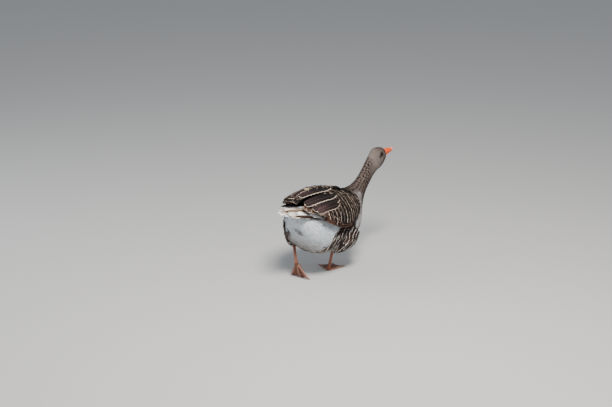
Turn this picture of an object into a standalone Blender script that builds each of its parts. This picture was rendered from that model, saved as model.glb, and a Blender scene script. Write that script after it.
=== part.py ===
"""A domestic goose of the greylag kind, walking with its neck reached forward.

Metres, +Z up. The bird faces -Y, its left side is +X, and the floor is Z = 0.
Side outlines are written as (forward, height) pairs, where forward is -Y.
"""
import math

import bmesh
import bpy
from mathutils import Matrix, Vector

# ---------------------------------------------------------------- driving sizes
GAP = 0.0003                # clearance between neighbouring solids
RING = 26                   # points round head, neck and trunk

# Stations of the flesh, from the bill's root to the vent.
# (top forward, top height, bottom forward, bottom height, half width, height share of widest point)
FLESH = [
    (0.4575, 0.4975, 0.4670, 0.4600, 0.0155, 0.42),   # bill root
    (0.4490, 0.5040, 0.4660, 0.4490, 0.0195, 0.42),   # lores
    (0.4310, 0.5095, 0.4580, 0.4370, 0.0235, 0.46),   # eyes
    (0.4080, 0.5110, 0.4460, 0.4215, 0.0275, 0.42),   # cheeks
    (0.3860, 0.5040, 0.4285, 0.4070, 0.0275, 0.42),   # ears
    (0.3680, 0.4800, 0.4075, 0.3960, 0.0252, 0.46),   # nape
    (0.3430, 0.4450, 0.3850, 0.3770, 0.0248, 0.50),   # upper neck
    (0.3140, 0.4080, 0.3610, 0.3480, 0.0262, 0.50),   # middle neck
    (0.2800, 0.3770, 0.3310, 0.3140, 0.0305, 0.50),   # lower neck
    (0.2420, 0.3600, 0.3050, 0.2760, 0.0410, 0.46),   # neck root
    (0.2030, 0.3560, 0.2740, 0.2340, 0.0610, 0.44),   # crop
    (0.1560, 0.3630, 0.2440, 0.1900, 0.0870, 0.41),   # breast
    (0.1120, 0.3690, 0.2040, 0.1500, 0.1110, 0.38),   # keel
    (0.0640, 0.3740, 0.1380, 0.1230, 0.1270, 0.38),   # flanks
    (0.0120, 0.3720, 0.0440, 0.1060, 0.1290, 0.39),   # hips
    (-0.0340, 0.3640, -0.0400, 0.1050, 0.1290, 0.37),  # paunch
    (-0.0760, 0.3500, -0.1080, 0.1320, 0.1220, 0.38),  # back of the paunch
    (-0.1080, 0.3380, -0.1500, 0.1800, 0.1070, 0.44),  # vent
    (-0.1340, 0.3280, -0.1720, 0.2320, 0.0850, 0.52),  # under the tail
    (-0.1560, 0.3220, -0.1800, 0.2760, 0.0600, 0.52),  # tail root
]
HEAD_END = 5.0              # station where the head meets the neck
NECK_END = 9.4              # station where the neck meets the trunk
HEAD_STEPS = 12
NECK_STEPS = 8
TRUNK_STEPS = 20
LEAD_STATIONS = 0.6         # how far the room kept for the trunk runs on into the neck

# The neck and head turn to the bird's right, round a circle.
TURN_START = 0.20           # forward distance where the turn begins
TURN_RADIUS = 1.10
TURN_LIMIT = math.radians(13.0)

# The body rolls over the standing right foot, its left side up. The roll dies out along the neck.
ROLL = math.radians(8.0)
ROLL_HEIGHT = 0.25
ROLL_FADE = (0.12, 0.36)

BILL_LENGTH = 0.0535
BILL_DEPTH = 0.0385
BILL_HALF_WIDTH = 0.0138
BILL_PITCH = math.radians(15.0)
BILL_PARTING = 0.40         # height share of the root where the two halves meet
BILL_TAPER = 0.36           # share of its width that the bill loses towards its end
BILL_EDGE = 0.0030
BILL_SQUARENESS = 0.75      # below 1 the section is fuller than a half ellipse
UPPER_BILL_DEPTH = 0.60     # share of the depth above the parting line
UPPER_BILL_PROFILE = (0.90, 0.30)
LOWER_BILL_DEPTH = 0.37
LOWER_BILL_PROFILE = (0.50, 0.12)
LOWER_BILL_WIDTH = 0.86
LOWER_BILL_SHARE = 0.93     # of the upper half's length
BILL_SECTIONS = 10
BILL_SIDES = 9

EYE_RADIUS = 0.0068
EYE_AT = (0.4290, 0.4800)   # forward and height of the eye's middle
EYE_SIDE = 0.0185           # from the middle plane to the eye's middle

# Folded wing: the outer surface of both wings is one cape over the trunk.
# (forward, top height, widest height, bottom height, half width)
CAPE = [
    (0.2350, 0.3560, 0.2850, 0.2300, 0.0640),
    (0.2100, 0.3620, 0.2760, 0.1980, 0.0880),
    (0.1650, 0.3730, 0.2680, 0.1760, 0.1140),
    (0.1000, 0.3860, 0.2640, 0.1640, 0.1355),
    (0.0300, 0.4030, 0.2700, 0.1640, 0.1470),
    (-0.0400, 0.4080, 0.2820, 0.1840, 0.1450),
    (-0.1000, 0.4000, 0.2960, 0.2200, 0.1370),
    (-0.1450, 0.3900, 0.3060, 0.2480, 0.1240),
    (-0.2050, 0.3720, 0.3160, 0.2640, 0.1060),
]
# (forward, upper edge angle, lower edge angle, thickness): angles from the horizontal, in degrees
WING_EDGE = [
    (0.1960, 54.0, 32.0, 0.010),
    (0.1860, 70.0, 14.0, 0.018),
    (0.1560, 79.0, -3.0, 0.026),
    (0.1030, 86.0, -12.0, 0.030),
    (0.0350, 88.0, -13.0, 0.030),
    (-0.0300, 88.0, -4.0, 0.022),
    (-0.0800, 87.0, 8.0, 0.014),
    (-0.1100, 86.0, 18.0, 0.009),
    (-0.1300, 85.0, 40.0, 0.008),
    (-0.1500, 84.0, 60.0, 0.007),
    (-0.1720, 82.0, 74.0, 0.004),
]
LEFT_WING_REACH = 1.20      # the left wing's tip lies further back than the right one's
WING_STEPS = 13
WING_ACROSS = 9
WING_RIM = 0.35             # share of the thickness that the wing's edges are rounded by

# The long wing feathers under the folded wing, left side.
FLIGHT_START = Vector((0.1385, -0.080, 0.256))
FLIGHT_ENDS = {
    "left": Vector((0.0960, 0.172, 0.327)),
    "right": Vector((0.1120, 0.128, 0.322)),
}
FLIGHT_HALF = 0.017
FLIGHT_TIP_HALF = 0.003
FLIGHT_START_SHARE = 0.3    # of the stack's width, where it comes out from under the coverts
FLIGHT_THICK = 0.0045
FLIGHT_TIP_THICK = 0.0015
FLIGHT_BOW = 0.010
FLIGHT_LEAN = (math.radians(84.0), math.radians(44.0))
FLIGHT_STEPS = 8
FLIGHT_SIDES = 12

TAIL_ROOT_Y = 0.098
TAIL_LENGTH = 0.160
TAIL_ROOT_TOP = 0.3410
TAIL_RISE = 0.03            # climb per metre of tail
TAIL_ROOT_HALF = 0.086
TAIL_TIP_HALF = 0.036
TAIL_SWING = 0.014          # the tip is swung to the left
TAIL_ROOT_THICK = 0.046
TAIL_TIP_THICK = 0.0030
TAIL_ARCH = 0.018           # how far the tail's sides hang below its middle
TAIL_STEPS = 9
TAIL_ACROSS = 12

# Legs. Hips are places in the level bird, the rest stand on the floor: +X left, -Y forward.
RIGHT_HIP = Vector((-0.089, -0.106, 0.195))
RIGHT_HOCK = Vector((-0.056, -0.030, 0.106))
RIGHT_ANKLE = (-0.031, -0.032)
RIGHT_HEADING = math.radians(27.0)   # the standing foot is turned in
LEFT_HIP = Vector((0.088, 0.040, 0.205))
LEFT_HOCK = Vector((0.058, 0.112, 0.146))
LEFT_ANKLE = (0.0165, 0.1465)
LEFT_HEADING = math.radians(0.0)
ANKLE_HEIGHT = 0.0105        # of the joint over the sole
LIFT_PITCH = math.radians(72.0)      # the trailing foot's heel is raised
LIFT_HINGE = 0.080          # from the joint to where the toes leave the floor
LIFT_BEND = 0.016
THIGH_RADIUS = 0.046
THIGH_END_RADIUS = 0.0115
THIGH_TAPER = 0.50          # how fast the thigh thins towards the hock
RIGHT_THIGH_BOW = Vector((-0.022, -0.010, 0.0))
LEFT_THIGH_BOW = Vector((0.022, 0.0, 0.0))
THIGH_STEPS = 9
THIGH_SIDES = 18
LEG_DEPTH = 1.25            # legs are deeper front to back than they are wide
SHANK_RADIUS = 0.0060
SHANK_JOINT_SWELL = 0.0026
SHANK_OVERLAP = 0.004       # how far the bare leg reaches up into the thigh
SHANK_STEPS = 8
SHANK_SIDES = 14
# (splay in degrees towards the bird's middle, length, half width)
TOES = [
    (38.0, 0.088, 0.0047),
    (1.0, 0.101, 0.0051),
    (-36.0, 0.092, 0.0047),
]
LIFTED_SPREAD = 0.85        # the toes close a little on the lifted foot
TOE_ROOT_SPACING = 0.0066
TOE_ROOT_SHARE = 0.25       # of a toe's length, where the toes still lie side by side
TOE_COLUMNS = (-1.0, -0.62, 0.0, 0.62, 1.0)
WEB_COLUMNS = 2
FOOT_STEPS = 9
WEB_HALF = 0.0011
WEB_DIP = 0.17              # how far the web's edge falls back between the toes
SOLE_CUT = 0.0007           # what the floor flattens under each toe
HIND_TOE_LENGTH = 0.022
HIND_TOE_HALF = 0.0034
HIND_TOE_HEIGHT = 0.012     # above the foot's joint, along the shank
HIND_TOE_INWARD = 0.35
HIND_TOE_DROOP = 0.45
HIND_TOE_STEPS = 6
HIND_TOE_SIDES = 10


# ---------------------------------------------------------------- helpers
def new_material(name, colour, roughness):
    """A plain Principled surface."""
    material = bpy.data.materials.new(name)
    material.use_nodes = True
    shader = material.node_tree.nodes["Principled BSDF"]
    shader.inputs["Base Color"].default_value = (*colour, 1.0)
    shader.inputs["Roughness"].default_value = roughness
    shader.inputs["Metallic"].default_value = 0.0
    return material


def add_object(name, mesh_builder, material):
    """Turn a bmesh into a smooth-shaded object of triangles with outward faces."""
    bmesh.ops.triangulate(mesh_builder, faces=mesh_builder.faces, quad_method="FIXED")
    bmesh.ops.recalc_face_normals(mesh_builder, faces=mesh_builder.faces)
    mesh = bpy.data.meshes.new(name)
    mesh_builder.to_mesh(mesh)
    mesh_builder.free()
    mesh.shade_smooth()
    mesh.materials.append(material)
    thing = bpy.data.objects.new(name, mesh)
    bpy.context.scene.collection.objects.link(thing)
    return thing


def spline(rows, position, column):
    """Smooth value of one column at a fractional row number (Catmull-Rom)."""
    last = len(rows) - 1
    low = min(int(position), last - 1)
    t = position - low
    a = rows[max(low - 1, 0)][column]
    b = rows[low][column]
    c = rows[low + 1][column]
    d = rows[min(low + 2, last)][column]
    return 0.5 * (2 * b + (c - a) * t + (2 * a - 5 * b + 4 * c - d) * t * t
                  + (3 * b - a - 3 * c + d) * t ** 3)


def at_forward(rows, forward, column):
    """Smooth value of a column where the first column, which falls, has a given value."""
    last = len(rows) - 1
    for low in range(last):
        ahead = rows[low][0]
        behind = rows[low + 1][0]
        if forward >= behind or low == last - 1:
            share = (ahead - forward) / (ahead - behind)
            return spline(rows, low + min(max(share, 0.0), 1.0), column)
    return rows[last][column]


def posed(point):
    """Carry a point of the level, straight bird to its place in the walking pose."""
    share = min(max((-point.y - ROLL_FADE[0]) / (ROLL_FADE[1] - ROLL_FADE[0]), 0.0), 1.0)
    roll = ROLL * (1.0 - share * share * (3.0 - 2.0 * share))
    above = point.z - ROLL_HEIGHT
    side = point.x * math.cos(roll) - above * math.sin(roll)
    height = ROLL_HEIGHT + above * math.cos(roll) + point.x * math.sin(roll)
    forward = -point.y - TURN_START
    if forward <= 0.0:
        return Vector((side, point.y, height))
    angle = min(forward / TURN_RADIUS, TURN_LIMIT)
    beyond = forward - angle * TURN_RADIUS
    radius = TURN_RADIUS + side
    ahead = TURN_START + radius * math.sin(angle) + beyond * math.cos(angle)
    aside = radius * math.cos(angle) - TURN_RADIUS - beyond * math.sin(angle)
    return Vector((aside, -ahead, height))


def loft(rings, close_start=True, close_end=True):
    """Skin a list of equal closed rings, with a fan at each end."""
    body = bmesh.new()
    rows = [[body.verts.new(point) for point in ring] for ring in rings]
    count = len(rings[0])
    for row, after in zip(rows, rows[1:]):
        for i in range(count):
            j = (i + 1) % count
            body.faces.new((row[i], row[j], after[j], after[i]))
    for row, wanted in ((rows[0], close_start), (rows[-1], close_end)):
        if not wanted:
            continue
        middle = sum((vert.co for vert in row), Vector()) / count
        hub = body.verts.new(middle)
        for i in range(count):
            body.faces.new((row[i], row[(i + 1) % count], hub))
    return body


def slab(uppers, unders):
    """A closed sheet with thickness from two equal grids, its rims stitched edge to edge."""
    body = bmesh.new()
    over = [[body.verts.new(point) for point in row] for row in uppers]
    below = [[body.verts.new(point) for point in row] for row in unders]
    rows = len(over)
    columns = len(over[0])
    for i in range(rows - 1):
        for k in range(columns - 1):
            body.faces.new((over[i][k], over[i][k + 1], over[i + 1][k + 1], over[i + 1][k]))
            body.faces.new((below[i][k], below[i + 1][k], below[i + 1][k + 1], below[i][k + 1]))
    for i in (0, rows - 1):
        for k in range(columns - 1):
            body.faces.new((over[i][k], over[i][k + 1], below[i][k + 1], below[i][k]))
    for k in (0, columns - 1):
        for i in range(rows - 1):
            body.faces.new((over[i][k], over[i + 1][k], below[i + 1][k], below[i][k]))
    return body


def boolean(thing, other, operation="DIFFERENCE"):
    """Apply an exact Boolean of another object to a thing."""
    modifier = thing.modifiers.new(operation.title(), "BOOLEAN")
    modifier.operation = operation
    modifier.solver = "EXACT"
    modifier.object = other
    graph = bpy.context.evaluated_depsgraph_get()
    result = bpy.data.meshes.new_from_object(thing.evaluated_get(graph))
    thing.modifiers.remove(modifier)
    old = thing.data
    thing.data = result
    bpy.data.meshes.remove(old)


def discard(thing):
    """Remove a guide object and its mesh."""
    mesh = thing.data
    bpy.data.objects.remove(thing)
    bpy.data.meshes.remove(mesh)


def frame_along(direction, side=Vector((1.0, 0.0, 0.0))):
    """Two unit vectors square to a direction: across and up."""
    forward = direction.normalized()
    across = (side - forward * side.dot(forward)).normalized()
    return across, forward.cross(across)


def tube(path, radii, sides, squash=1.0, side=Vector((1.0, 0.0, 0.0))):
    """Rings along a path. Each radius is the half width; squash gives the other axis."""
    rings = []
    for i, point in enumerate(path):
        before = path[max(i - 1, 0)]
        after = path[min(i + 1, len(path) - 1)]
        across, up = frame_along(after - before, side)
        ring = []
        for k in range(sides):
            angle = 2 * math.pi * k / sides
            ring.append(point + across * radii[i] * math.cos(angle)
                        + up * radii[i] * squash * math.sin(angle))
        rings.append(ring)
    return rings


# ---------------------------------------------------------------- head, neck and trunk
def flesh_ring(position, grow=0.0):
    """One closed ring of the flesh at a fractional station, swollen by grow."""
    top = Vector((0.0, -spline(FLESH, position, 0), spline(FLESH, position, 1)))
    bottom = Vector((0.0, -spline(FLESH, position, 2), spline(FLESH, position, 3)))
    half = spline(FLESH, position, 4) + grow
    share = spline(FLESH, position, 5)
    height = (top - bottom).length
    up = (top - bottom).normalized()
    middle = bottom + up * height * share
    above = height * (1.0 - share) + grow
    below = height * share + grow
    ring = []
    for k in range(RING):
        angle = 2 * math.pi * k / RING
        lift = above if math.sin(angle) >= 0.0 else below
        spot = middle + Vector((half * math.cos(angle), 0.0, 0.0)) + up * lift * math.sin(angle)
        ring.append(posed(spot))
    return ring


def flesh(name, start, end, steps, material):
    """One length of the bird from station start to station end."""
    rings = [flesh_ring(start + (end - start) * i / steps) for i in range(steps + 1)]
    return add_object(name, loft(rings), material)


def swollen_flesh(start, end, steps, material):
    """The room the trunk needs with its gap: the same rings grown a little, longer at both ends."""
    rings = [flesh_ring(start + (end - start) * i / steps, GAP) for i in range(steps + 1)]
    ahead = flesh_ring(start - LEAD_STATIONS, GAP)
    back = (sum(rings[-1], Vector()) - sum(rings[-2], Vector())).normalized() * GAP
    behind = [point + back for point in rings[-1]]
    return add_object("swollen trunk", loft([ahead] + rings + [behind]), material)


def gap_stations(position):
    """Station width of the thin cut at a fractional station."""
    here = spline(FLESH, position, 0) + spline(FLESH, position, 2)
    ahead = spline(FLESH, position + 0.01, 0) + spline(FLESH, position + 0.01, 2)
    per_station = abs(here - ahead) / 2 / 0.01
    return GAP / per_station


# ---------------------------------------------------------------- bill and eyes
def bill_frame():
    """Root of the bill, where its halves meet, and the upward directions at the root and beyond."""
    top = Vector((0.0, -FLESH[0][0], FLESH[0][1]))
    bottom = Vector((0.0, -FLESH[0][2], FLESH[0][3]))
    root_up = (top - bottom).normalized()
    out = Vector((0.0, -root_up.z, root_up.y))
    root = bottom.lerp(top, BILL_PARTING) + out * GAP
    bill_up = Vector((0.0, math.sin(BILL_PITCH), math.cos(BILL_PITCH)))
    return root, root_up, bill_up


def upper_bill_size(t, share):
    """Half width and height of the upper half's section; t counts sections, share is the way out."""
    taper, hollow = UPPER_BILL_PROFILE
    nail = math.sqrt(1.0 - 11.0 * max(t - 0.75, 0.0) ** 2)
    height = BILL_DEPTH * UPPER_BILL_DEPTH * (1.0 - taper * share + hollow * share ** 2) * nail
    return bill_half_width(t, share), max(height, BILL_EDGE)


def lower_bill_size(t, share):
    """Half width and height, below the parting line, of the lower half's section."""
    taper, bulge = LOWER_BILL_PROFILE
    chin = math.sqrt(1.0 - 9.0 * max(t - 0.75, 0.0) ** 2)
    height = BILL_DEPTH * LOWER_BILL_DEPTH * (1.0 - taper * share - bulge * share ** 2) * chin
    return bill_half_width(t, share) * LOWER_BILL_WIDTH, -max(height, 0.7 * BILL_EDGE)


def bill_half_width(t, share):
    """Half width of the bill seen from above, with a rounded end."""
    rounding = math.sqrt(1.0 - 0.86 * (max(t - 0.8, 0.0) / 0.2) ** 2)
    return BILL_HALF_WIDTH * (1.0 - BILL_TAPER * share ** 1.4) * rounding


def bill_half(name, size_at, length, base, material):
    """Upper or lower half of the bill, D-shaped sections from the root to the nail."""
    root, root_up, bill_up = bill_frame()
    forward = Vector((0.0, -bill_up.z, bill_up.y))
    rings = []
    for i in range(BILL_SECTIONS):
        t = i / (BILL_SECTIONS - 1)
        along = length * (1.0 - (1.0 - t) ** 1.5)
        share = along / BILL_LENGTH
        width, height = size_at(t, share)
        up = root_up.lerp(bill_up, min(2.0 * share, 1.0)).normalized()
        ring = []
        for k in range(BILL_SIDES + 1):
            angle = math.pi * k / BILL_SIDES
            side = Vector((width * math.cos(angle), 0.0, 0.0))
            rise = up * (base + height * math.sin(angle) ** BILL_SQUARENESS)
            ring.append(posed(root + forward * along + side + rise))
        rings.append(ring)
    return add_object(name, loft(rings), material)


def ball(name, centre, radius, material, segments=12, rings=8):
    """A sphere as its own object."""
    body = bmesh.new()
    bmesh.ops.create_uvsphere(body, u_segments=segments, v_segments=rings, radius=radius)
    bmesh.ops.rotate(body, verts=body.verts, matrix=Matrix.Rotation(math.pi / 2, 3, "Y"))
    bmesh.ops.translate(body, verts=body.verts, vec=centre)
    return add_object(name, body, material)


def make_eyes(head, material):
    """Both eyeballs, and the sockets that hold them."""
    for name, side in (("eye_left", 1.0), ("eye_right", -1.0)):
        centre = posed(Vector((side * EYE_SIDE, -EYE_AT[0], EYE_AT[1])))
        socket = ball("socket", centre, EYE_RADIUS + GAP, material)
        boolean(head, socket)
        discard(socket)
        ball(name, centre, EYE_RADIUS, material)


# ---------------------------------------------------------------- wings and tail
def cape_point(forward, angle, depth=0.0):
    """A point on the wings' common outer surface, sunk by depth towards the trunk."""
    top = at_forward(CAPE, forward, 1)
    widest = at_forward(CAPE, forward, 2)
    bottom = at_forward(CAPE, forward, 3)
    half = at_forward(CAPE, forward, 4)
    rise = (top - widest) if angle >= 0.0 else (widest - bottom)
    flat = Vector((half * math.cos(angle), -forward, widest + rise * math.sin(angle)))
    inward = Vector((math.cos(angle) * rise, 0.0, math.sin(angle) * half)).normalized()
    return flat - inward * depth


def wing(name, side, reach, material):
    """A folded wing, a curved slab whose rim is rounded. Reach stretches its hind part."""
    outers = []
    inners = []
    first = WING_EDGE[0][0]
    last = WING_EDGE[-1][0]
    for i in range(WING_STEPS + 1):
        forward = first + (last - first) * i / WING_STEPS
        upper = math.radians(at_forward(WING_EDGE, forward, 1))
        lower = math.radians(at_forward(WING_EDGE, forward, 2))
        thick = at_forward(WING_EDGE, forward, 3)
        placed = forward * reach if forward < 0.0 else forward
        outer = []
        inner = []
        for k in range(WING_ACROSS + 1):
            share = k / WING_ACROSS
            angle = upper + (lower - upper) * share
            rim = WING_RIM * abs(2.0 * share - 1.0) ** 6
            for row, depth in ((outer, thick * rim), (inner, thick)):
                point = cape_point(placed, angle, depth)
                row.append(posed(Vector((point.x * side, point.y, point.z))))
        outers.append(outer)
        inners.append(inner)
    return add_object(name, slab(outers, inners), material)


def flight_feathers(name, side, end, material, grow=0.0):
    """The stack of long wing feathers that shows under the folded wing."""
    rings = []
    for i in range(FLIGHT_STEPS + 1):
        t = i / FLIGHT_STEPS
        bow = Vector((FLIGHT_BOW * math.sin(math.pi * t), 0.0, 0.0))
        middle = FLIGHT_START.lerp(end, t) + bow
        swell = FLIGHT_START_SHARE + (1.0 - FLIGHT_START_SHARE) * min(t / 0.25, 1.0)
        half = FLIGHT_HALF * (1.0 - t ** 1.6) ** 0.8 * swell + FLIGHT_TIP_HALF + grow
        thick = FLIGHT_THICK * (1.0 - t) + FLIGHT_TIP_THICK + grow
        lean = FLIGHT_LEAN[0] + (FLIGHT_LEAN[1] - FLIGHT_LEAN[0]) * t
        across = Vector((math.cos(lean), 0.0, -math.sin(lean)))
        out = Vector((math.sin(lean), 0.0, math.cos(lean)))
        push = Vector((0.0, (2.0 * t - 1.0) * grow, 0.0))
        ring = []
        for k in range(FLIGHT_SIDES):
            angle = 2 * math.pi * k / FLIGHT_SIDES
            spot = middle + push + across * half * math.cos(angle) + out * thick * math.sin(angle)
            ring.append(posed(Vector((spot.x * side, spot.y, spot.z))))
        rings.append(ring)
    return add_object(name, loft(rings), material)


def tail(material):
    """The tail fan with its coverts: an arched wedge that narrows to a rounded end."""
    uppers = []
    unders = []
    for i in range(TAIL_STEPS + 1):
        t = i / TAIL_STEPS
        half = TAIL_ROOT_HALF + (TAIL_TIP_HALF - TAIL_ROOT_HALF) * t ** 0.7
        thick = TAIL_ROOT_THICK * (1.0 - t) ** 1.3 + TAIL_TIP_THICK
        upper = []
        under = []
        for k in range(TAIL_ACROSS + 1):
            v = 2.0 * k / TAIL_ACROSS - 1.0
            reach = TAIL_LENGTH * t * (1.0 - 0.10 * v * v)
            x = half * v + TAIL_SWING * t * t
            z = TAIL_ROOT_TOP + TAIL_RISE * reach - TAIL_ARCH * (1.0 - 0.4 * t) * v * v
            edge = 1.0 - 0.55 * v ** 4
            upper.append(posed(Vector((x, TAIL_ROOT_Y + reach, z))))
            under.append(posed(Vector((x, TAIL_ROOT_Y + reach, z - thick * edge))))
        uppers.append(upper)
        unders.append(under)
    return add_object("tail", slab(uppers, unders), material)


# ---------------------------------------------------------------- legs
def thigh(name, hip, hock, bow, material):
    """The feathered upper leg, an egg that tapers to the hock."""
    path = []
    radii = []
    for i in range(THIGH_STEPS + 1):
        t = i / THIGH_STEPS
        path.append(hip.lerp(hock, t) + bow * math.sin(math.pi * t))
        swell = math.sqrt(max(1.0 - t, 0.0)) * (1.0 - THIGH_TAPER * t)
        radii.append(THIGH_RADIUS * swell + THIGH_END_RADIUS)
    return add_object(name, loft(tube(path, radii, THIGH_SIDES, LEG_DEPTH)), material)


def shank(name, hock, ankle, material, grow=0.0):
    """The bare lower leg, thicker at both joints."""
    line = (ankle - hock).normalized()
    start = hock - line * (SHANK_OVERLAP + grow)
    end = ankle + line * grow
    path = []
    radii = []
    for i in range(SHANK_STEPS + 1):
        t = i / SHANK_STEPS
        path.append(start.lerp(end, t))
        radii.append(SHANK_RADIUS + SHANK_JOINT_SWELL * (2.0 * t - 1.0) ** 4 + grow)
    return add_object(name, loft(tube(path, radii, SHANK_SIDES, LEG_DEPTH)), material)


def toe_size(index, u):
    """Half width and half height of a toe at a share u of its length."""
    half = TOES[index][2]
    knuckle = 1.0 + 0.09 * math.cos(6.0 * math.pi * u)
    taper = 1.0 - 0.30 * u
    claw = math.sqrt(max(1.0 - max(u - 0.90, 0.0) / 0.13, 0.05))
    width = half * taper * knuckle * claw * (0.5 + 0.5 * min(u / TOE_ROOT_SHARE, 1.0))
    height = (half * taper * knuckle + 0.0028 * (1.0 - u) ** 3) * claw
    return width, max(height, 0.0012)


def toe_point(index, u, side, spread):
    """Middle line of one toe of the flat foot, and the way across it."""
    splay, length, half = TOES[index]
    turn = math.radians(splay * spread)
    ahead = Vector((-side * math.sin(turn), -math.cos(turn), 0.0))
    eased = turn * min(u / TOE_ROOT_SHARE, 1.0)
    across = Vector((side * math.cos(eased), -math.sin(eased), 0.0))
    root = Vector((side * (index - 1) * TOE_ROOT_SPACING, 0.0, 0.0))
    height = toe_size(index, u)[1] - SOLE_CUT
    return root + ahead * length * u + Vector((0.0, 0.0, height)), across


def foot_columns(side, spread, t):
    """One row across the flat foot: its upper and its under points."""
    places = []
    for index in range(len(TOES)):
        width, height = toe_size(index, t)
        spot, across = toe_point(index, t, side, spread)
        web = WEB_HALF + (0.6 * height - WEB_HALF) * max(1.0 - t / 0.3, 0.0) ** 2
        for share in TOE_COLUMNS:
            thick = max(height * math.sqrt(max(1.0 - share * share, 0.0)), web)
            places.append((spot + across * width * share, thick))
        if index == len(TOES) - 1:
            break
        for k in range(1, WEB_COLUMNS + 1):
            share = k / (WEB_COLUMNS + 1)
            u = t * (1.0 - WEB_DIP * math.sin(math.pi * share) ** 0.8)
            here, here_across = toe_point(index, u, side, spread)
            there, there_across = toe_point(index + 1, u, side, spread)
            here = here + here_across * toe_size(index, u)[0]
            there = there - there_across * toe_size(index + 1, u)[0]
            places.append((here.lerp(there, share), web))
    up = Vector((0.0, 0.0, 1.0))
    return [spot + up * thick for spot, thick in places], [spot - up * thick for spot, thick in places]


def heel_raised(point):
    """Bend a flat foot up behind its toe tips, which stay on the floor."""
    back = LIFT_HINGE + point.y
    if back <= 0.0:
        return point.copy()
    angle = min(back / LIFT_BEND, LIFT_PITCH)
    beyond = back - angle * LIFT_BEND
    radius = LIFT_BEND - point.z
    y = -LIFT_HINGE + radius * math.sin(angle) + beyond * math.cos(angle)
    z = LIFT_BEND - radius * math.cos(angle) + beyond * math.sin(angle)
    return Vector((point.x, y, z))


def foot(name, side, ankle, heading, lifted, material):
    """Three toes joined by a web, on the floor at least with the toe tips."""
    turn = Matrix.Rotation(heading, 3, "Z")
    spread = LIFTED_SPREAD if lifted else 1.0
    joint = heel_raised(Vector()) if lifted else Vector()
    place = Vector((ankle.x, ankle.y, 0.0))
    grids = ([], [])
    for i in range(FOOT_STEPS + 1):
        for grid, row in zip(grids, foot_columns(side, spread, i / FOOT_STEPS)):
            if lifted:
                row = [heel_raised(point) for point in row]
            grid.append([place + turn @ (point - Vector((0.0, joint.y, 0.0))) for point in row])
    return add_object(name, slab(*grids), material)


def hind_toe(name, side, ankle, hock, heading, material):
    """The short hind toe, set on the inner back of the shank a little above the foot."""
    line = (hock - ankle).normalized()
    inward = Vector((-side * HIND_TOE_INWARD, 1.0, 0.0)).normalized()
    back = Matrix.Rotation(heading, 3, "Z") @ inward
    path = []
    radii = []
    for i in range(HIND_TOE_STEPS + 1):
        t = i / HIND_TOE_STEPS
        droop = line * HIND_TOE_LENGTH * HIND_TOE_DROOP * t * t
        path.append(ankle + line * HIND_TOE_HEIGHT + back * HIND_TOE_LENGTH * t - droop)
        radii.append(HIND_TOE_HALF * (1.0 - 0.75 * t ** 2.5))
    return add_object(name, loft(tube(path, radii, HIND_TOE_SIDES)), material)


def cut_floor(thing):
    """Slice off what would lie under the floor, which leaves small flats at Z = 0."""
    body = bmesh.new()
    body.from_mesh(thing.data)
    geometry = body.verts[:] + body.edges[:] + body.faces[:]
    cut = bmesh.ops.bisect_plane(body, geom=geometry, plane_co=(0, 0, 0), plane_no=(0, 0, 1),
                                 clear_inner=True, dist=1e-6)
    edges = [item for item in cut["geom_cut"] if isinstance(item, bmesh.types.BMEdge)]
    bmesh.ops.holes_fill(body, edges=edges)
    body.to_mesh(thing.data)
    body.free()


def legs(swollen, feather, skin):
    """Thigh, shank, foot and hind toe of each side."""
    raised = heel_raised(Vector((0.0, 0.0, ANKLE_HEIGHT)))
    left_ankle = Vector((LEFT_ANKLE[0], LEFT_ANKLE[1], raised.z))
    right_ankle = Vector((RIGHT_ANKLE[0], RIGHT_ANKLE[1], ANKLE_HEIGHT))
    sides = (
        ("left", 1.0, LEFT_HIP, LEFT_THIGH_BOW, LEFT_HOCK, left_ankle, LEFT_HEADING, True),
        ("right", -1.0, RIGHT_HIP, RIGHT_THIGH_BOW, RIGHT_HOCK, right_ankle, RIGHT_HEADING, False),
    )
    for label, side, hip, bow, hock, ankle, heading, lifted in sides:
        upper = thigh("thigh_" + label, posed(hip), hock, bow, feather)
        boolean(upper, swollen)
        lower = shank("shank_" + label, hock, ankle, skin)
        boolean(lower, swollen)
        clear = shank("clear shank", hock, ankle, skin, GAP)
        boolean(upper, clear)
        sole = foot("foot_" + label, side, ankle, heading, lifted, skin)
        cut_floor(sole)
        boolean(sole, clear)
        hind = hind_toe("hind_toe_" + label, side, ankle, hock, heading, skin)
        boolean(hind, clear)
        discard(clear)


def stand_on_origin():
    """Put the middle of the bird's ground plan over the origin, and its lowest flats at Z = 0."""
    things = [thing for thing in bpy.data.objects if thing.type == "MESH"]
    points = [vert.co for thing in things for vert in thing.data.vertices]
    low = Vector(min(point[axis] for point in points) for axis in range(3))
    high = Vector(max(point[axis] for point in points) for axis in range(3))
    shift = Matrix.Translation(Vector((-(low.x + high.x) / 2, -(low.y + high.y) / 2, -low.z)))
    for thing in things:
        thing.data.transform(shift)


def clear_scene():
    """Start from an empty scene."""
    for thing in list(bpy.data.objects):
        bpy.data.objects.remove(thing)


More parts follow.
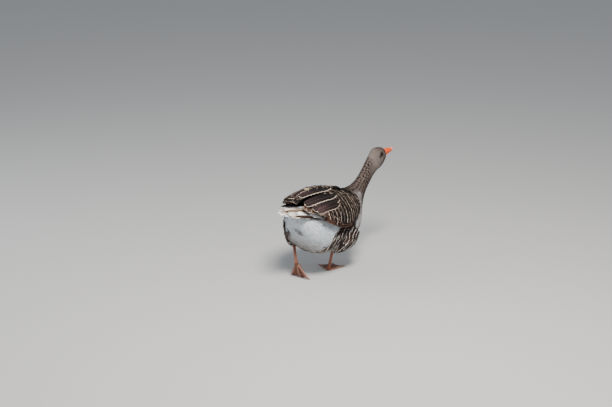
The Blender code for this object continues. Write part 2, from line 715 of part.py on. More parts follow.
def main():
    clear_scene()
    taupe = new_material("taupe feather", (0.235, 0.185, 0.150), 0.80)
    brown = new_material("brown feather", (0.120, 0.080, 0.060), 0.75)
    white = new_material("white feather", (0.720, 0.720, 0.740), 0.85)
    orange = new_material("bill horn", (0.850, 0.260, 0.070), 0.45)
    pink = new_material("leg skin", (0.620, 0.270, 0.190), 0.55)
    dark = new_material("eye", (0.020, 0.012, 0.010), 0.08)

    last = len(FLESH) - 1
    head = flesh("head", 0.0, HEAD_END, HEAD_STEPS, taupe)
    neck_start = HEAD_END + gap_stations(HEAD_END)
    flesh("neck", neck_start, NECK_END, NECK_STEPS, taupe)
    trunk_start = NECK_END + gap_stations(NECK_END)
    flesh("trunk", trunk_start, last, TRUNK_STEPS, white)
    swollen = swollen_flesh(trunk_start, last, TRUNK_STEPS, white)

    bill_half("bill_upper", upper_bill_size, BILL_LENGTH, GAP / 2, orange)
    bill_half("bill_lower", lower_bill_size, BILL_LENGTH * LOWER_BILL_SHARE, -GAP / 2, orange)
    make_eyes(head, dark)

    tail_fan = tail(brown)
    boolean(tail_fan, swollen)
    for label, side, reach in (("left", 1.0, LEFT_WING_REACH), ("right", -1.0, 1.0)):
        folded = wing("wing_" + label, side, reach, brown)
        boolean(folded, swollen)
        stack = flight_feathers("primaries_" + label, side, FLIGHT_ENDS[label], brown)
        boolean(stack, swollen)
        clear = flight_feathers("clear stack", side, FLIGHT_ENDS[label], brown, GAP)
        boolean(folded, clear)
        discard(clear)

    legs(swollen, white, pink)
    discard(swollen)
    stand_on_origin()


main()
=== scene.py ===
"""Looks of the walking goose: skin, feathers, bill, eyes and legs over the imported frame.

Metres, +Z up, the bird faces -Y and its left side is +X, as in the frame. The bird's own level
frame is the same animal before its step rolled the body and its neck turned: (x, y, z) with the
walking pose taken out. Places on the body are named in that level frame.
"""

import math

import bmesh
import bpy
import numpy as np
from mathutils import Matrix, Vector
from mathutils.bvhtree import BVHTree


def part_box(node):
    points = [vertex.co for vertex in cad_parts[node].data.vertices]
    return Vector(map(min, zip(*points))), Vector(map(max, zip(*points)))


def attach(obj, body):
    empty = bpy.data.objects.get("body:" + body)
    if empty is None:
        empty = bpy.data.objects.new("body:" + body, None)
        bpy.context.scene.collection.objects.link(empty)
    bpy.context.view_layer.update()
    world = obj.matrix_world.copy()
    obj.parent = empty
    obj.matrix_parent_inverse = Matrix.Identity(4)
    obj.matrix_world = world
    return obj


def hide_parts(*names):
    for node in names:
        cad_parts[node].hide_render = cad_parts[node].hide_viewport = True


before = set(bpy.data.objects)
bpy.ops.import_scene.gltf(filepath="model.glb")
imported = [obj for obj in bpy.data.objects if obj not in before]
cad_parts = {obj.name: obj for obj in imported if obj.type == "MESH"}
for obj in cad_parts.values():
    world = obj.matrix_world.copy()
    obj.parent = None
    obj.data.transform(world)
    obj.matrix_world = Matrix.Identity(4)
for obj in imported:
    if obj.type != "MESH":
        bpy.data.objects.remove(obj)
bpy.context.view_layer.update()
rng = np.random.default_rng(11)

# ---------------------------------------------------------------- the walking pose
TURN_START = 0.20
TURN_RADIUS = 1.10
TURN_LIMIT = math.radians(13.0)
ROLL = math.radians(8.0)
ROLL_HEIGHT = 0.25
ROLL_FADE = (0.12, 0.36)
EYE_PLACE = (-0.0185, -0.4290, 0.4800)      # right eye in the level frame
SIDES = (("left", 1.0), ("right", -1.0))


def smooth(value, low, high):
    """Smooth step from 0 at low to 1 at high."""
    t = np.clip((np.asarray(value, float) - low) / (high - low), 0.0, 1.0)
    return t * t * (3.0 - 2.0 * t)


def fade(value, low, high):
    """Smooth step from 1 at low to 0 at high."""
    return 1.0 - smooth(value, low, high)


def pose_at_origin(points):
    """Level points carried into the walking pose, before the frame's own origin is met."""
    x, y, z = np.asarray(points, float).reshape(-1, 3).T
    ahead = -y
    roll = ROLL * fade(ahead, *ROLL_FADE)
    above = z - ROLL_HEIGHT
    side = x * np.cos(roll) - above * np.sin(roll)
    height = ROLL_HEIGHT + above * np.cos(roll) + x * np.sin(roll)
    past = np.maximum(ahead - TURN_START, 0.0)
    angle = np.minimum(past / TURN_RADIUS, TURN_LIMIT)
    rest = past - angle * TURN_RADIUS
    radius = TURN_RADIUS + side
    turned = TURN_START + radius * np.sin(angle) + rest * np.cos(angle)
    aside = radius * np.cos(angle) - TURN_RADIUS - rest * np.sin(angle)
    straight = ahead <= TURN_START
    return np.stack([np.where(straight, side, aside), -np.where(straight, ahead, turned), height], 1)


def middle(node):
    low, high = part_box(node)
    return (low + high) / 2


HOME = np.array(middle("eye_right")) - pose_at_origin([EYE_PLACE])[0]


def posed(points):
    """Level points in the frame."""
    return pose_at_origin(points) + HOME


def level(points):
    """Frame points back in the level bird."""
    p = np.asarray(points, float).reshape(-1, 3) - HOME
    side, ahead, height = p[:, 0], -p[:, 1], p[:, 2]
    across = side + TURN_RADIUS
    past = ahead - TURN_START
    angle = np.clip(np.arctan2(past, across), 0.0, TURN_LIMIT)
    radial = across * np.cos(angle) + past * np.sin(angle)
    rest = past * np.cos(angle) - across * np.sin(angle)
    straight = past <= 0.0
    forward = np.where(straight, ahead, TURN_START + angle * TURN_RADIUS + rest)
    side = np.where(straight, side, radial - TURN_RADIUS)
    roll = ROLL * fade(forward, *ROLL_FADE)
    above = height - ROLL_HEIGHT
    x = side * np.cos(roll) + above * np.sin(roll)
    z = ROLL_HEIGHT + above * np.cos(roll) - side * np.sin(roll)
    return np.stack([x, -forward, z], 1)


def unit(vectors):
    return vectors / np.maximum(np.linalg.norm(vectors, axis=1, keepdims=True), 1e-9)


def posed_direction(points, directions):
    """Directions at level points, carried into the frame."""
    step = 0.002
    return unit(posed(points + unit(directions) * step) - posed(points))


# ---------------------------------------------------------------- the body's axis and unwrap
# (forward, height) of the axis from the bill's root to the vent, level frame
AXIS = np.array([
    (0.470, 0.478), (0.430, 0.474), (0.395, 0.455), (0.360, 0.410), (0.325, 0.365),
    (0.280, 0.325), (0.220, 0.300), (0.140, 0.275), (0.040, 0.255), (-0.060, 0.250),
    (-0.130, 0.285), (-0.200, 0.310),
])
AXIS_LENGTH = np.concatenate([[0.0], np.cumsum(np.linalg.norm(np.diff(AXIS, axis=0), axis=1))])


def along_axis(points):
    """For level points: share of the way down the axis, angle round it, and the axis direction."""
    x, y, z = points.T
    flat = np.stack([-y, z], 1)
    best = np.full(len(points), 1e9)
    share = np.zeros(len(points))
    above = np.zeros(len(points))
    heading = np.zeros((len(points), 2))
    for i in range(len(AXIS) - 1):
        a = AXIS[i]
        d = AXIS[i + 1] - a
        size = np.linalg.norm(d)
        d = d / size
        t = np.clip((flat - a) @ d, 0.0, size)
        off = flat - a - t[:, None] * d
        gap = np.linalg.norm(off, axis=1)
        near = gap < best
        best = np.where(near, gap, best)
        share = np.where(near, AXIS_LENGTH[i] + t, share)
        above = np.where(near, off @ np.array([d[1], -d[0]]), above)
        heading[near] = d
    angle = np.arctan2(x, -above)
    backward = np.stack([np.zeros(len(points)), -heading[:, 0], heading[:, 1]], 1)
    return share / AXIS_LENGTH[-1], angle, backward


# ---------------------------------------------------------------- shells: smooth surfaces of the frame
def rows_of(items, key, width=3, kind=np.float32):
    """One value of each of a mesh's items, as rows."""
    values = np.zeros(len(items) * width, kind)
    items.foreach_get(key, values)
    return values.reshape(-1, width)


def verts_of(thing):
    return rows_of(thing.data.vertices, "co").astype(float)


def normals_of(thing):
    return rows_of(thing.data.vertices, "normal").astype(float)


def move_verts(thing, points):
    thing.data.vertices.foreach_set("co", points.astype(np.float32).ravel())
    thing.data.update()


def node_arrays(names):
    """Vertices and triangles of CAD nodes together, and each triangle's node number."""
    points, faces, owner = [], [], []
    count = 0
    for number, name in enumerate(names):
        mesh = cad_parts[name].data
        mesh.calc_loop_triangles()
        points.append(rows_of(mesh.vertices, "co"))
        tris = rows_of(mesh.loop_triangles, "vertices", kind=np.int32)
        faces.append(tris + count)
        owner.append(np.full(len(tris), number))
        count += len(points[-1])
    return np.concatenate(points), np.concatenate(faces), np.concatenate(owner)


def object_from(name, points, faces):
    mesh = bpy.data.meshes.new(name)
    mesh.from_pydata([tuple(p) for p in points], [], [tuple(f) for f in faces])
    thing = bpy.data.objects.new(name, mesh)
    bpy.context.scene.collection.objects.link(thing)
    return thing


def remeshed(name, nodes, voxel, smoothing):
    """A smooth closed surface over CAD nodes."""
    points, faces, _ = node_arrays(nodes)
    thing = object_from(name, points, faces)
    grid = thing.modifiers.new("grid", "REMESH")
    grid.mode = "VOXEL"
    grid.voxel_size = voxel
    soften = thing.modifiers.new("soften", "SMOOTH")
    soften.factor = 0.5
    soften.iterations = smoothing
    graph = bpy.context.evaluated_depsgraph_get()
    result = bpy.data.meshes.new_from_object(thing.evaluated_get(graph))
    thing.modifiers.clear()
    old = thing.data
    thing.data = result
    bpy.data.meshes.remove(old)
    result.name = name
    return thing


class Shell:
    """A surface to lay feathers on: nearest points, rays, and triangles to scatter over."""

    def __init__(self, thing):
        mesh = thing.data
        mesh.calc_loop_triangles()
        self.verts = verts_of(thing)
        self.normals = normals_of(thing)
        self.tris = rows_of(mesh.loop_triangles, "vertices", kind=np.int32)
        self.tree = BVHTree.FromPolygons(self.verts.tolist(), self.tris.tolist())

    def nearest(self, points):
        """The nearest places on the surface, and its smooth normals there."""
        spots = np.empty((len(points), 3))
        faces = np.empty(len(points), int)
        for i, point in enumerate(points.tolist()):
            spots[i], _, faces[i], _ = self.tree.find_nearest(point)
        corners = self.tris[faces]
        a, b, c = (self.verts[corners[:, k]] for k in range(3))
        weights = []
        for p, q in ((b, c), (c, a), (a, b)):
            weights.append(np.linalg.norm(np.cross(p - spots, q - spots), axis=1) + 1e-12)
        total = sum(weights)
        normal = sum(self.normals[corners[:, k]] * (weights[k] / total)[:, None] for k in range(3))
        return spots, unit(normal)

    def hit(self, origins, directions):
        """Where rays meet the surface: (which rays, places)."""
        kept, spots = [], []
        for i, (origin, direction) in enumerate(zip(origins.tolist(), directions.tolist())):
            spot = self.tree.ray_cast(origin, direction)[0]
            if spot is not None:
                kept.append(i)
                spots.append(tuple(spot))
        return np.array(kept, int), np.array(spots).reshape(-1, 3)


TRIES = 2.6                  # random places thrown for each one that can be kept


def scatter(shell, tri_mask, spacing):
    """Random places on the masked triangles, no two nearer than the spacing."""
    tris = shell.tris[tri_mask]
    a, b, c = (shell.verts[tris[:, k]] for k in range(3))
    area = np.linalg.norm(np.cross(b - a, c - a), axis=1) / 2
    count = int(area.sum() / spacing ** 2 * TRIES)
    pick = rng.choice(len(tris), count, p=area / area.sum())
    u = np.sqrt(rng.random(count))
    v = rng.random(count)
    spots = a[pick] * (1 - u)[:, None] + b[pick] * (u * (1 - v))[:, None] + c[pick] * (u * v)[:, None]
    cells = {}
    near = [(i, j, k) for i in (-1, 0, 1) for j in (-1, 0, 1) for k in (-1, 0, 1)]

    def crowded(key, x, y, z):
        for i, j, k in near:
            for ox, oy, oz in cells.get((key[0] + i, key[1] + j, key[2] + k), ()):
                if (ox - x) ** 2 + (oy - y) ** 2 + (oz - z) ** 2 < spacing ** 2:
                    return True
        return False

    kept = []
    for n, (key, spot) in enumerate(zip(np.floor(spots / spacing).astype(int).tolist(), spots.tolist())):
        if not crowded(key, *spot):
            cells.setdefault(tuple(key), []).append(spot)
            kept.append(n)
    return spots[kept]


# ---------------------------------------------------------------- markings
def rgb(*values):
    return np.array(values)


BELLY = rgb(0.62, 0.67, 0.72)
BELLY_TRIM = rgb(0.76, 0.80, 0.84)
# the darker brown towards the bottom of the belly
LOW_BELLY_BROWN = rgb(0.25, 0.185, 0.135)
STAIN = rgb(0.075, 0.058, 0.042)
RUMP = rgb(0.74, 0.76, 0.78)
BREAST = rgb(0.52, 0.475, 0.46)
BREAST_TRIM = rgb(0.80, 0.76, 0.75)
NECK = rgb(0.112, 0.080, 0.067)
NECK_TRIM = rgb(0.225, 0.175, 0.152)
# near-black painted shade for the neck's furrows
FURROW_SHADE = rgb(0.006, 0.003, 0.0025)
HEAD = rgb(0.165, 0.132, 0.118)
HEAD_TRIM = rgb(0.270, 0.225, 0.205)
EYE_SHADE = rgb(0.026, 0.012, 0.008)
FLANK = rgb(0.020, 0.009, 0.006)
FLANK_PALE = rgb(0.085, 0.046, 0.033)
FLANK_TRIM = rgb(0.86, 0.80, 0.74)
WING = rgb(0.008, 0.0045, 0.004)
WING_PALE = rgb(0.055, 0.034, 0.028)
WING_TRIM = rgb(0.58, 0.45, 0.35)
TERTIAL = rgb(0.022, 0.012, 0.012)
CREAM = rgb(0.84, 0.72, 0.56)
FLIGHT = rgb(0.105, 0.052, 0.037)
# near-black painted shade, for the furrow between the wings and the skin under the wing feathers
DEEP_SHADE = rgb(0.004, 0.0025, 0.002)
# the neck's furrows carry spots of painted shade
NECK_SPOT_ROUND = 14         # dark furrow spots round the neck
NECK_SPOT_STEP = 0.0145      # and the distance between their rows


def mix(a, b, share):
    share = np.asarray(share)[..., None]
    return np.asarray(a) * (1.0 - share) + np.asarray(b) * share


def flank_mask(points):
    """1 where level points on the trunk or thigh carry brown flank feathers."""
    x, y, z = points.T
    f = -y
    edge = -0.062 + 0.90 * np.maximum(z - 0.180, 0.0)
    right = smooth(f, edge - 0.006, edge + 0.014) * smooth(-x, 0.070, 0.086)
    left = smooth(f, -0.200, -0.180) * smooth(x, 0.074, 0.088) * fade(z, 0.245, 0.262)
    back = np.where(x < 0.0, right, left)
    high = fade(f, 0.185, 0.215)
    pale_breast = smooth(f, 0.120, 0.150) * smooth(z, 0.205, 0.235)
    return back * high * (1.0 - pale_breast)


def neck_spots(share, angle):
    """Painted shade: dark diamonds in the furrows between the neck's feathers."""
    run = share * AXIS_LENGTH[-1]
    row = (run + 0.0022 * np.sin(angle * 5.0 + run * 90.0)) / NECK_SPOT_STEP * math.pi
    turn = (angle + 0.06 * np.sin(run * 210.0 + angle * 3.0)) * NECK_SPOT_ROUND / 2
    strength = 0.90 + 0.10 * np.sin(run * 330.0 + angle * 7.0)
    return smooth(np.cos(turn + row) * np.cos(turn - row), -0.16, 0.20) * strength


def tinted(colours, share, colour, edge=None, edge_share=None):
    """A pair of feather colour and edge colour, mixed by a share with another pair."""
    edge = colour if edge is None else edge
    edge_share = share if edge_share is None else edge_share
    return mix(colours[0], colour, share), mix(colours[1], edge, edge_share)


def body_markings(points):
    """Feather colour and edge colour at level points of head, neck, trunk and thighs."""
    share, angle, _ = along_axis(points)
    x, y, z = points.T
    f = -y
    head = smooth(f, 0.322, 0.392)
    bib = smooth(np.abs(x), 0.014, 0.042) * fade(f, 0.258, 0.292) * fade(z, 0.332, 0.366)
    neck = smooth(f + 0.35 * (z - 0.32), 0.215, 0.262) * (1.0 - 0.74 * bib)
    collar = smooth(z, 0.235, 0.315) * smooth(f, 0.100, 0.150) * (1.0 - 0.80 * bib)
    # the belly darker and browner towards its bottom, in streaks
    low_belly = fade(z, 0.128, 0.222) * (0.72 + 0.25 * np.sin(z * 420.0 + x * 60.0) * np.cos(x * 150.0))
    colours = tinted((BELLY, BELLY_TRIM), low_belly, LOW_BELLY_BROWN, edge_share=low_belly * 0.7)
    spot = np.sqrt(((x + 0.024) / 0.027) ** 2 + ((z - 0.219 - 0.25 * (x + 0.02)) / 0.0140) ** 2)
    spot = spot + smooth(-f, 0.12, 0.16) * -0.2
    stain = fade(spot, 0.35, 1.0) * smooth(-f, 0.10, 0.13) * 0.95
    tint, trim = tinted(colours, stain, STAIN, edge_share=stain * 0.6)
    tint = mix(tint, RUMP, smooth(z, 0.285, 0.315) * fade(f, -0.06, -0.02))
    colours = tinted((tint, trim), smooth(f, 0.105, 0.165), BREAST, BREAST_TRIM)
    colours = tinted(colours, collar, NECK, NECK_TRIM)
    # painted shade: the back under the wings' inner edges is near black
    back_shade = smooth(z, 0.300, 0.325) * smooth(f, -0.125, -0.105) * fade(f, 0.165, 0.205)
    colours = tinted(colours, back_shade, DEEP_SHADE, WING)
    colours = tinted(colours, flank_mask(points), FLANK, FLANK_PALE)
    colours = tinted(colours, neck, NECK, NECK_TRIM)
    spots = neck_spots(share, angle) * np.maximum(neck, collar) * fade(f, 0.352, 0.388)
    spots = spots * (0.65 + 0.35 * smooth(f, 0.22, 0.28))
    # painted shade in the neck's furrows
    colours = tinted(colours, spots * 0.95, FURROW_SHADE, edge_share=spots * 0.9)
    colours = tinted(colours, head * (1.0 - spots), HEAD, HEAD_TRIM)
    crown = smooth(z - 0.30 * f, 0.355, 0.385) * smooth(f, 0.37, 0.40) * 0.45
    colours = tinted(colours, crown, NECK)
    # the dark streak from the eye, tapered behind it, and the dark spot at the bill's root
    eye = np.array(EYE_PLACE)
    aside = np.maximum(abs(eye[0]) - np.abs(x), 0.0)
    reach = np.clip(((eye[1] + f) * -0.72 + (eye[2] - z) * 0.69) / 0.0150, 0.0, 1.0)
    gap = np.sqrt(aside ** 2 + (f + eye[1] + 0.0108 * reach) ** 2 + (z - eye[2] + 0.0104 * reach) ** 2)
    streak = fade(gap, 0.0066 - 0.0036 * reach, 0.0132 - 0.0030 * reach) * (1.0 - 0.25 * reach)
    brow = np.sqrt((np.abs(x) - 0.010) ** 2 + (f - 0.452) ** 2 + (z - 0.487) ** 2)
    brow = fade(brow, 0.0030, 0.0135) * smooth(np.abs(x), 0.002, 0.008)
    for shade in (streak, brow):
        colours = tinted(colours, shade * 0.95, EYE_SHADE, edge_share=shade * 0.92)
    return colours


# ---------------------------------------------------------------- materials
BARBS = 900.0                # barbs to the metre of a vane, and the clumps that they wear into
BARB_CLUMPS = 190.0
MIX_FIRST, MIX_SECOND, MIX_RESULT = 6, 7, 2     # the colour sockets of a mix node


def fill_inputs(tree, node, values):
    """Put a number, a colour or a link on each of a node's inputs."""
    for key, value in values.items():
        if isinstance(value, (int, float, tuple)):
            node.inputs[key].default_value = value
        else:
            tree.links.new(value, node.inputs[key])


def nodes_of(name, values):
    """A new material with these values on its shader: (material, tree, shader)."""
    material = bpy.data.materials.new(name)
    material.use_nodes = True
    tree = material.node_tree
    shader = tree.nodes["Principled BSDF"]
    fill_inputs(tree, shader, values)
    return material, tree, shader


def add_node(tree, kind, values, **settings):
    node = tree.nodes.new("ShaderNode" + kind)
    for key, value in settings.items():
        setattr(node, key, value)
    fill_inputs(tree, node, values)
    return node


def attribute(tree, name, socket="Fac"):
    return add_node(tree, "Attribute", {}, attribute_type="GEOMETRY", attribute_name=name).outputs[socket]


def maths(tree, operation, first, second):
    return add_node(tree, "Math", {0: first, 1: second}, operation=operation).outputs[0]


def plus(tree, first, second):
    return maths(tree, "ADD", first, second)


def times(tree, product, *factors):
    for factor in factors:
        product = maths(tree, "MULTIPLY", product, factor)
    return product


def ramp_range(tree, value, low, high, to_low=0.0, to_high=1.0):
    values = {"Value": value, "From Min": low, "From Max": high, "To Min": to_low, "To Max": to_high}
    return add_node(tree, "MapRange", values, interpolation_type="SMOOTHSTEP").outputs["Result"]


def mix_colour(tree, factor, first, second):
    values = {0: factor}
    for socket, value in ((MIX_FIRST, first), (MIX_SECOND, second)):
        values[socket] = (*value, 1.0) if isinstance(value, tuple) else value
    return add_node(tree, "Mix", values, data_type="RGBA").outputs[MIX_RESULT]


def noise(tree, scale, detail, place, socket="Vector", dimensions="3D"):
    values = {"Scale": scale, "Detail": detail, "Roughness": 0.55, socket: place}
    return add_node(tree, "TexNoise", values, noise_dimensions=dimensions).outputs["Fac"]


def line_noise(tree, detail, value):
    return noise(tree, 1.0, detail, value, "W", "1D")


def object_place(tree):
    return add_node(tree, "TexCoord", {}).outputs["Object"]


def around_one(tree, value, spread):
    """1 plus or minus spread/2, from a value between 0 and 1."""
    return plus(tree, 1.0 - spread / 2, times(tree, value, spread))


def scaled(tree, colour, share):
    return add_node(tree, "VectorMath", {0: colour, "Scale": share}, operation="SCALE").outputs[0]


def relief(tree, shader, height, strength, distance):
    bump = add_node(tree, "Bump", {"Strength": strength, "Distance": distance, "Height": height})
    fill_inputs(tree, shader, {"Normal": bump.outputs["Normal"]})


def own_colour(tree, shader, bright):
    """The mesh's own colour, made darker or brighter."""
    fill_inputs(tree, shader, {"Base Color": scaled(tree, attribute(tree, "tint", "Color"), bright)})


def plumage_material(name, softness, edge_span, streaky, varied, hollow, root_shade):
    """Feathers: own colour, pale edge, barbs slanting from the shaft, all from the mesh's values."""
    material, tree, shader = nodes_of(name, {"Specular IOR Level": 0.16})
    tint, trim = (attribute(tree, key, "Color") for key in ("tint", "trim"))
    keys = ("rim", "along", "across", "barb", "tone")
    rim, along, across, barb, tone = (attribute(tree, key) for key in keys)
    place = object_place(tree)
    offset = times(tree, tone, 97.0)
    streak = line_noise(tree, 4.0, plus(tree, times(tree, barb, BARBS), offset))
    coarse = line_noise(tree, 2.0, plus(tree, times(tree, barb, BARB_CLUMPS), offset))
    patch = noise(tree, 55.0, 3.0, place)
    broad = noise(tree, 17.0, 2.0, place)
    ragged = rim
    for wave, depth in ((streak, 0.22), (coarse, 0.30)):
        ragged = plus(tree, ragged, times(tree, maths(tree, "SUBTRACT", wave, 0.5), depth))
    bright = around_one(tree, streak, streaky)
    for value, spread in ((coarse, streaky), (patch, varied * 1.6), (broad, varied * 1.6), (tone, varied)):
        bright = times(tree, bright, around_one(tree, value, spread))
    bright = times(tree, bright, ramp_range(tree, along, *root_shade, 1.12),
                   ramp_range(tree, across, 0.05, 0.95, 1.0 - hollow, 1.0 + hollow))
    worn = scaled(tree, trim, around_one(tree, patch, 0.9))
    shaft = ramp_range(tree, across, 0.012, 0.055, hollow * 0.35, 0.0)
    colour = mix_colour(tree, shaft, scaled(tree, tint, bright), worn)
    colour = mix_colour(tree, ramp_range(tree, ragged, *edge_span), colour, worn)
    rough = plus(tree, softness, times(tree, noise(tree, 420.0, 2.0, place), 0.2))
    fill_inputs(tree, shader, {"Base Color": colour, "Roughness": rough})
    relief(tree, shader, streak, 0.45, 0.0008)
    return material


def skin_material():
    """What shows between the feathers: the same markings, downy, darkened as painted shade."""
    material, tree, shader = nodes_of("shaded_down", {"Roughness": 0.9, "Specular IOR Level": 0.12})
    down = noise(tree, 500.0, 3.0, object_place(tree))
    # painted shade between the feathers: the markings at 40 to 80 per cent brightness, mottled like down
    own_colour(tree, shader, ramp_range(tree, down, 0.3, 0.75, 0.40, 0.80))
    relief(tree, shader, down, 0.6, 0.001)
    return material


# ---------------------------------------------------------------- meshes of many feathers
PATCH = 0.003                # size of a feather's patch on the bake map
TUFT_STEPS = (0.0, 0.4, 0.8, 1.0)
TUFT_COLUMNS = (-1.0, 0.0, 1.0)
VANE_STEPS = (0.0, 0.18, 0.36, 0.54, 0.70, 0.82, 0.91, 0.97, 1.0)
VANE_COLUMNS = (-1.0, -0.78, -0.35, 0.0, 0.35, 0.78, 1.0)
LONG_STEPS = (*np.linspace(0.0, 0.9, 34), 0.935, 0.965, 0.985, 1.0)
FREE_STEPS = (*np.linspace(0.0, 0.90, 46), 0.925, 0.95, 0.97, 0.985, 1.0)
RIPPLE = 0.011               # length of the waves along a long vane's edge
SLACK = 0.0006               # how far a feather's stride may miss the surface that it lies on


def add_values(thing, name, values):
    """A number or a colour for each vertex, under the name that the materials read."""
    kind, key = "FLOAT", "value"
    if values.ndim == 2:
        kind, key = "FLOAT_COLOR", "color"
        values = np.concatenate([values, np.ones((len(values), 1))], 1)
    layer = thing.attributes.new(name, kind, "POINT")
    layer.data.foreach_set(key, values.astype(np.float32).ravel())


class Coat:
    """Feathers gathered into one mesh, as grids of steps by columns."""

    def __init__(self, name, steps=VANE_STEPS, columns=VANE_COLUMNS):
        self.name = name
        self.steps = np.array(steps)
        self.columns = np.array(columns)
        self.parts = {key: [] for key in ("place", "tint", "trim", "rim", "barb", "tone", "root")}

    def add(self, **values):
        for key, value in values.items():
            self.parts[key].append(value)

    def build(self, material):
        data = {key: np.concatenate(value) for key, value in self.parts.items()}
        count, rows, columns = data["place"].shape[:3]
        size = rows * columns
        grid = np.arange(size).reshape(rows, columns)
        quad = np.stack([grid[:-1, :-1], grid[:-1, 1:], grid[1:, 1:], grid[1:, :-1]], -1).reshape(-1, 4)
        faces = (quad[None] + (np.arange(count) * size)[:, None, None]).reshape(-1, 4)
        mesh = bpy.data.meshes.new(self.name)
        mesh.vertices.add(count * size)
        mesh.vertices.foreach_set("co", data["place"].astype(np.float32).ravel())
        mesh.loops.add(faces.size)
        mesh.loops.foreach_set("vertex_index", faces.astype(np.int32).ravel())
        mesh.polygons.add(len(faces))
        mesh.polygons.foreach_set("loop_start", np.arange(0, faces.size, 4, dtype=np.int32))
        mesh.polygons.foreach_set("use_smooth", np.ones(len(faces), bool))
        mesh.update(calc_edges=True)
        add_values(mesh, "tint", np.repeat(data["tint"], size, 0))
        add_values(mesh, "trim", np.repeat(data["trim"], size, 0))
        add_values(mesh, "rim", data["rim"].ravel())
        add_values(mesh, "along", np.tile(np.repeat(self.steps, columns), count))
        add_values(mesh, "across", np.tile(np.abs(self.columns), count * rows))
        add_values(mesh, "barb", data["barb"].ravel())
        add_values(mesh, "tone", np.repeat(data["tone"], size))
        low = data["root"].min(0)
        span = np.maximum(data["root"].max(0) - low, 1e-6)
        centre = PATCH + (data["root"] - low) / span * (1.0 - 2.0 * PATCH)
        local = np.stack(np.meshgrid(np.linspace(-0.5, 0.5, columns), np.linspace(-0.5, 0.5, rows)), -1)
        uv = (centre[:, None, :] + local.reshape(-1, 2)[None] * PATCH).reshape(-1, 2)
        layer = mesh.uv_layers.new(name="OFBake")
        layer.data.foreach_set("uv", uv[faces.ravel()].astype(np.float32).ravel())
        mesh.materials.append(material)
        thing = bpy.data.objects.new(self.name, mesh)
        bpy.context.scene.collection.objects.link(thing)
        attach(thing, "root")


def outline(t, widest, power):
    """Half-width share of a feather at shares t of its length."""
    opening = np.clip(t / 0.22, 0.0, 1.0) ** 0.7
    closing = np.clip((t - widest) / (1.0 - widest), 0.0, 1.0)
    return np.maximum(opening * (1.0 - closing ** power) ** (1.0 / power), 0.12)


def lay(coat, shell, roots, flows, lengths, widths, tints, trims, unwrap, sink=0.004, rise=0.0005,
        cup=0.12, widest=0.6, power=2.2, tip_band=0.6, wave=0.0, jitter=0.0, tilt=0.0, edge=None,
        cling=0.35, tip_share=1.0, one_side=0.0, straight=-1.0, side_fade=0.0):
    """Feathers grown from roots, each following the shell along its flow direction.

    A tilt lifts the edge of the last column. An edge is the pale rim's width in metres. Past the
    shell's own edge a feather runs straight on; one that would hang free for half its length is left out.
    """
    count = len(roots)
    steps, columns = coat.steps, coat.columns
    spot, up = shell.nearest(roots)
    flow = unit(flows - up * np.sum(flows * up, 1, keepdims=True))
    run = [(spot, up, flow)]
    free = np.zeros(count)
    for stretch in np.diff(steps):
        stride = lengths * stretch
        ahead = spot + flow * stride[:, None]
        down, turned_up = shell.nearest(ahead)
        off = np.sum((ahead - down) * turned_up, 1) > cling * stride + SLACK
        free += off * stretch
        down[off] = ahead[off]
        turned_up[off] = up[off]
        spot, up = down, turned_up
        flow = unit(flow - up * np.sum(flow * up, 1, keepdims=True))
        run.append((spot, up, flow))
    path, normal, way = (np.stack(part, 1) for part in zip(*run))
    across = unit(np.cross(way.reshape(-1, 3), normal.reshape(-1, 3))).reshape(way.shape)
    half = widths[:, None] / 2 * outline(steps, widest, power)
    if wave:
        phase = rng.random(count)[:, None] * 6.28
        ripple = np.sin(lengths[:, None] * steps * 6.28 / RIPPLE + phase)
        half = half * (1.0 + wave * ripple * np.clip(steps * 3.0, 0.0, 1.0))
    lift = -sink * (1.0 - steps)[None] ** 1.5 + np.broadcast_to(rise, count)[:, None] * steps
    lift = lift + rng.normal(0.0, 1.0, count)[:, None] * jitter * steps
    spread = half[:, :, None] * columns
    height = lift[:, :, None] - cup * half[:, :, None] * columns ** 2 + tilt * spread
    place = path[:, :, None] + across[:, :, None] * spread[..., None] + normal[:, :, None] * height[..., None]
    if edge is None:
        tip = np.clip((steps - tip_band) / (1.0 - tip_band), 0.0, 1.0)[:, None]
        rim = np.maximum(np.abs(columns) * 0.8 * np.clip(steps * 4, 0, 1)[:, None], tip)
        rim = np.tile(rim, (count, 1, 1))
    else:
        inward = 1.0 - (columns * one_side if one_side else np.abs(columns))
        to_side = half[:, :, None] * inward * (0.5 + 0.5 * tip_share)
        to_tip = (lengths[:, None] * (1.0 - steps))[:, :, None] / tip_share
        reach = 2.0 * np.broadcast_to(edge, count)[:, None, None]
        at_side = np.clip(1.0 - to_side / reach, 0.0, 1.0)
        at_side = at_side * (1.0 - side_fade * fade(steps, 0.62, 0.97))[:, None]
        rim = np.maximum(at_side, np.clip(1.0 - to_tip / reach, 0.0, 1.0))
    barb = lengths[:, None, None] * steps[:, None] - np.abs(spread)
    held = (free < 0.5) & (np.sum(way[:, 0] * way[:, -1], 1) > straight)
    coat.add(place=place[held], tint=tints[held], trim=trims[held], rim=rim[held], barb=barb[held],
             tone=rng.random(held.sum()), root=unwrap[held])


def finish_solid(thing, material, slot, *nodes):
    """Smooth shading, one material, and its place among the frame's nodes."""
    thing.data.polygons.foreach_set("use_smooth", np.ones(len(thing.data.polygons), bool))
    thing.data.materials.clear()
    thing.data.materials.append(material)
    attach(thing, "root")
    if nodes:
        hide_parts(*nodes)


# ---------------------------------------------------------------- skin
COAT_DEPTH = {
    "head": 0.0012, "neck": 0.0030, "trunk": 0.0055, "thigh_left": 0.0045, "thigh_right": 0.0045,
    "wing_left": 0.0022, "wing_right": 0.0022, "tail": 0.0016,
}
FLESH_NODES = list(COAT_DEPTH)
SMOOTHED_PASSES = 130


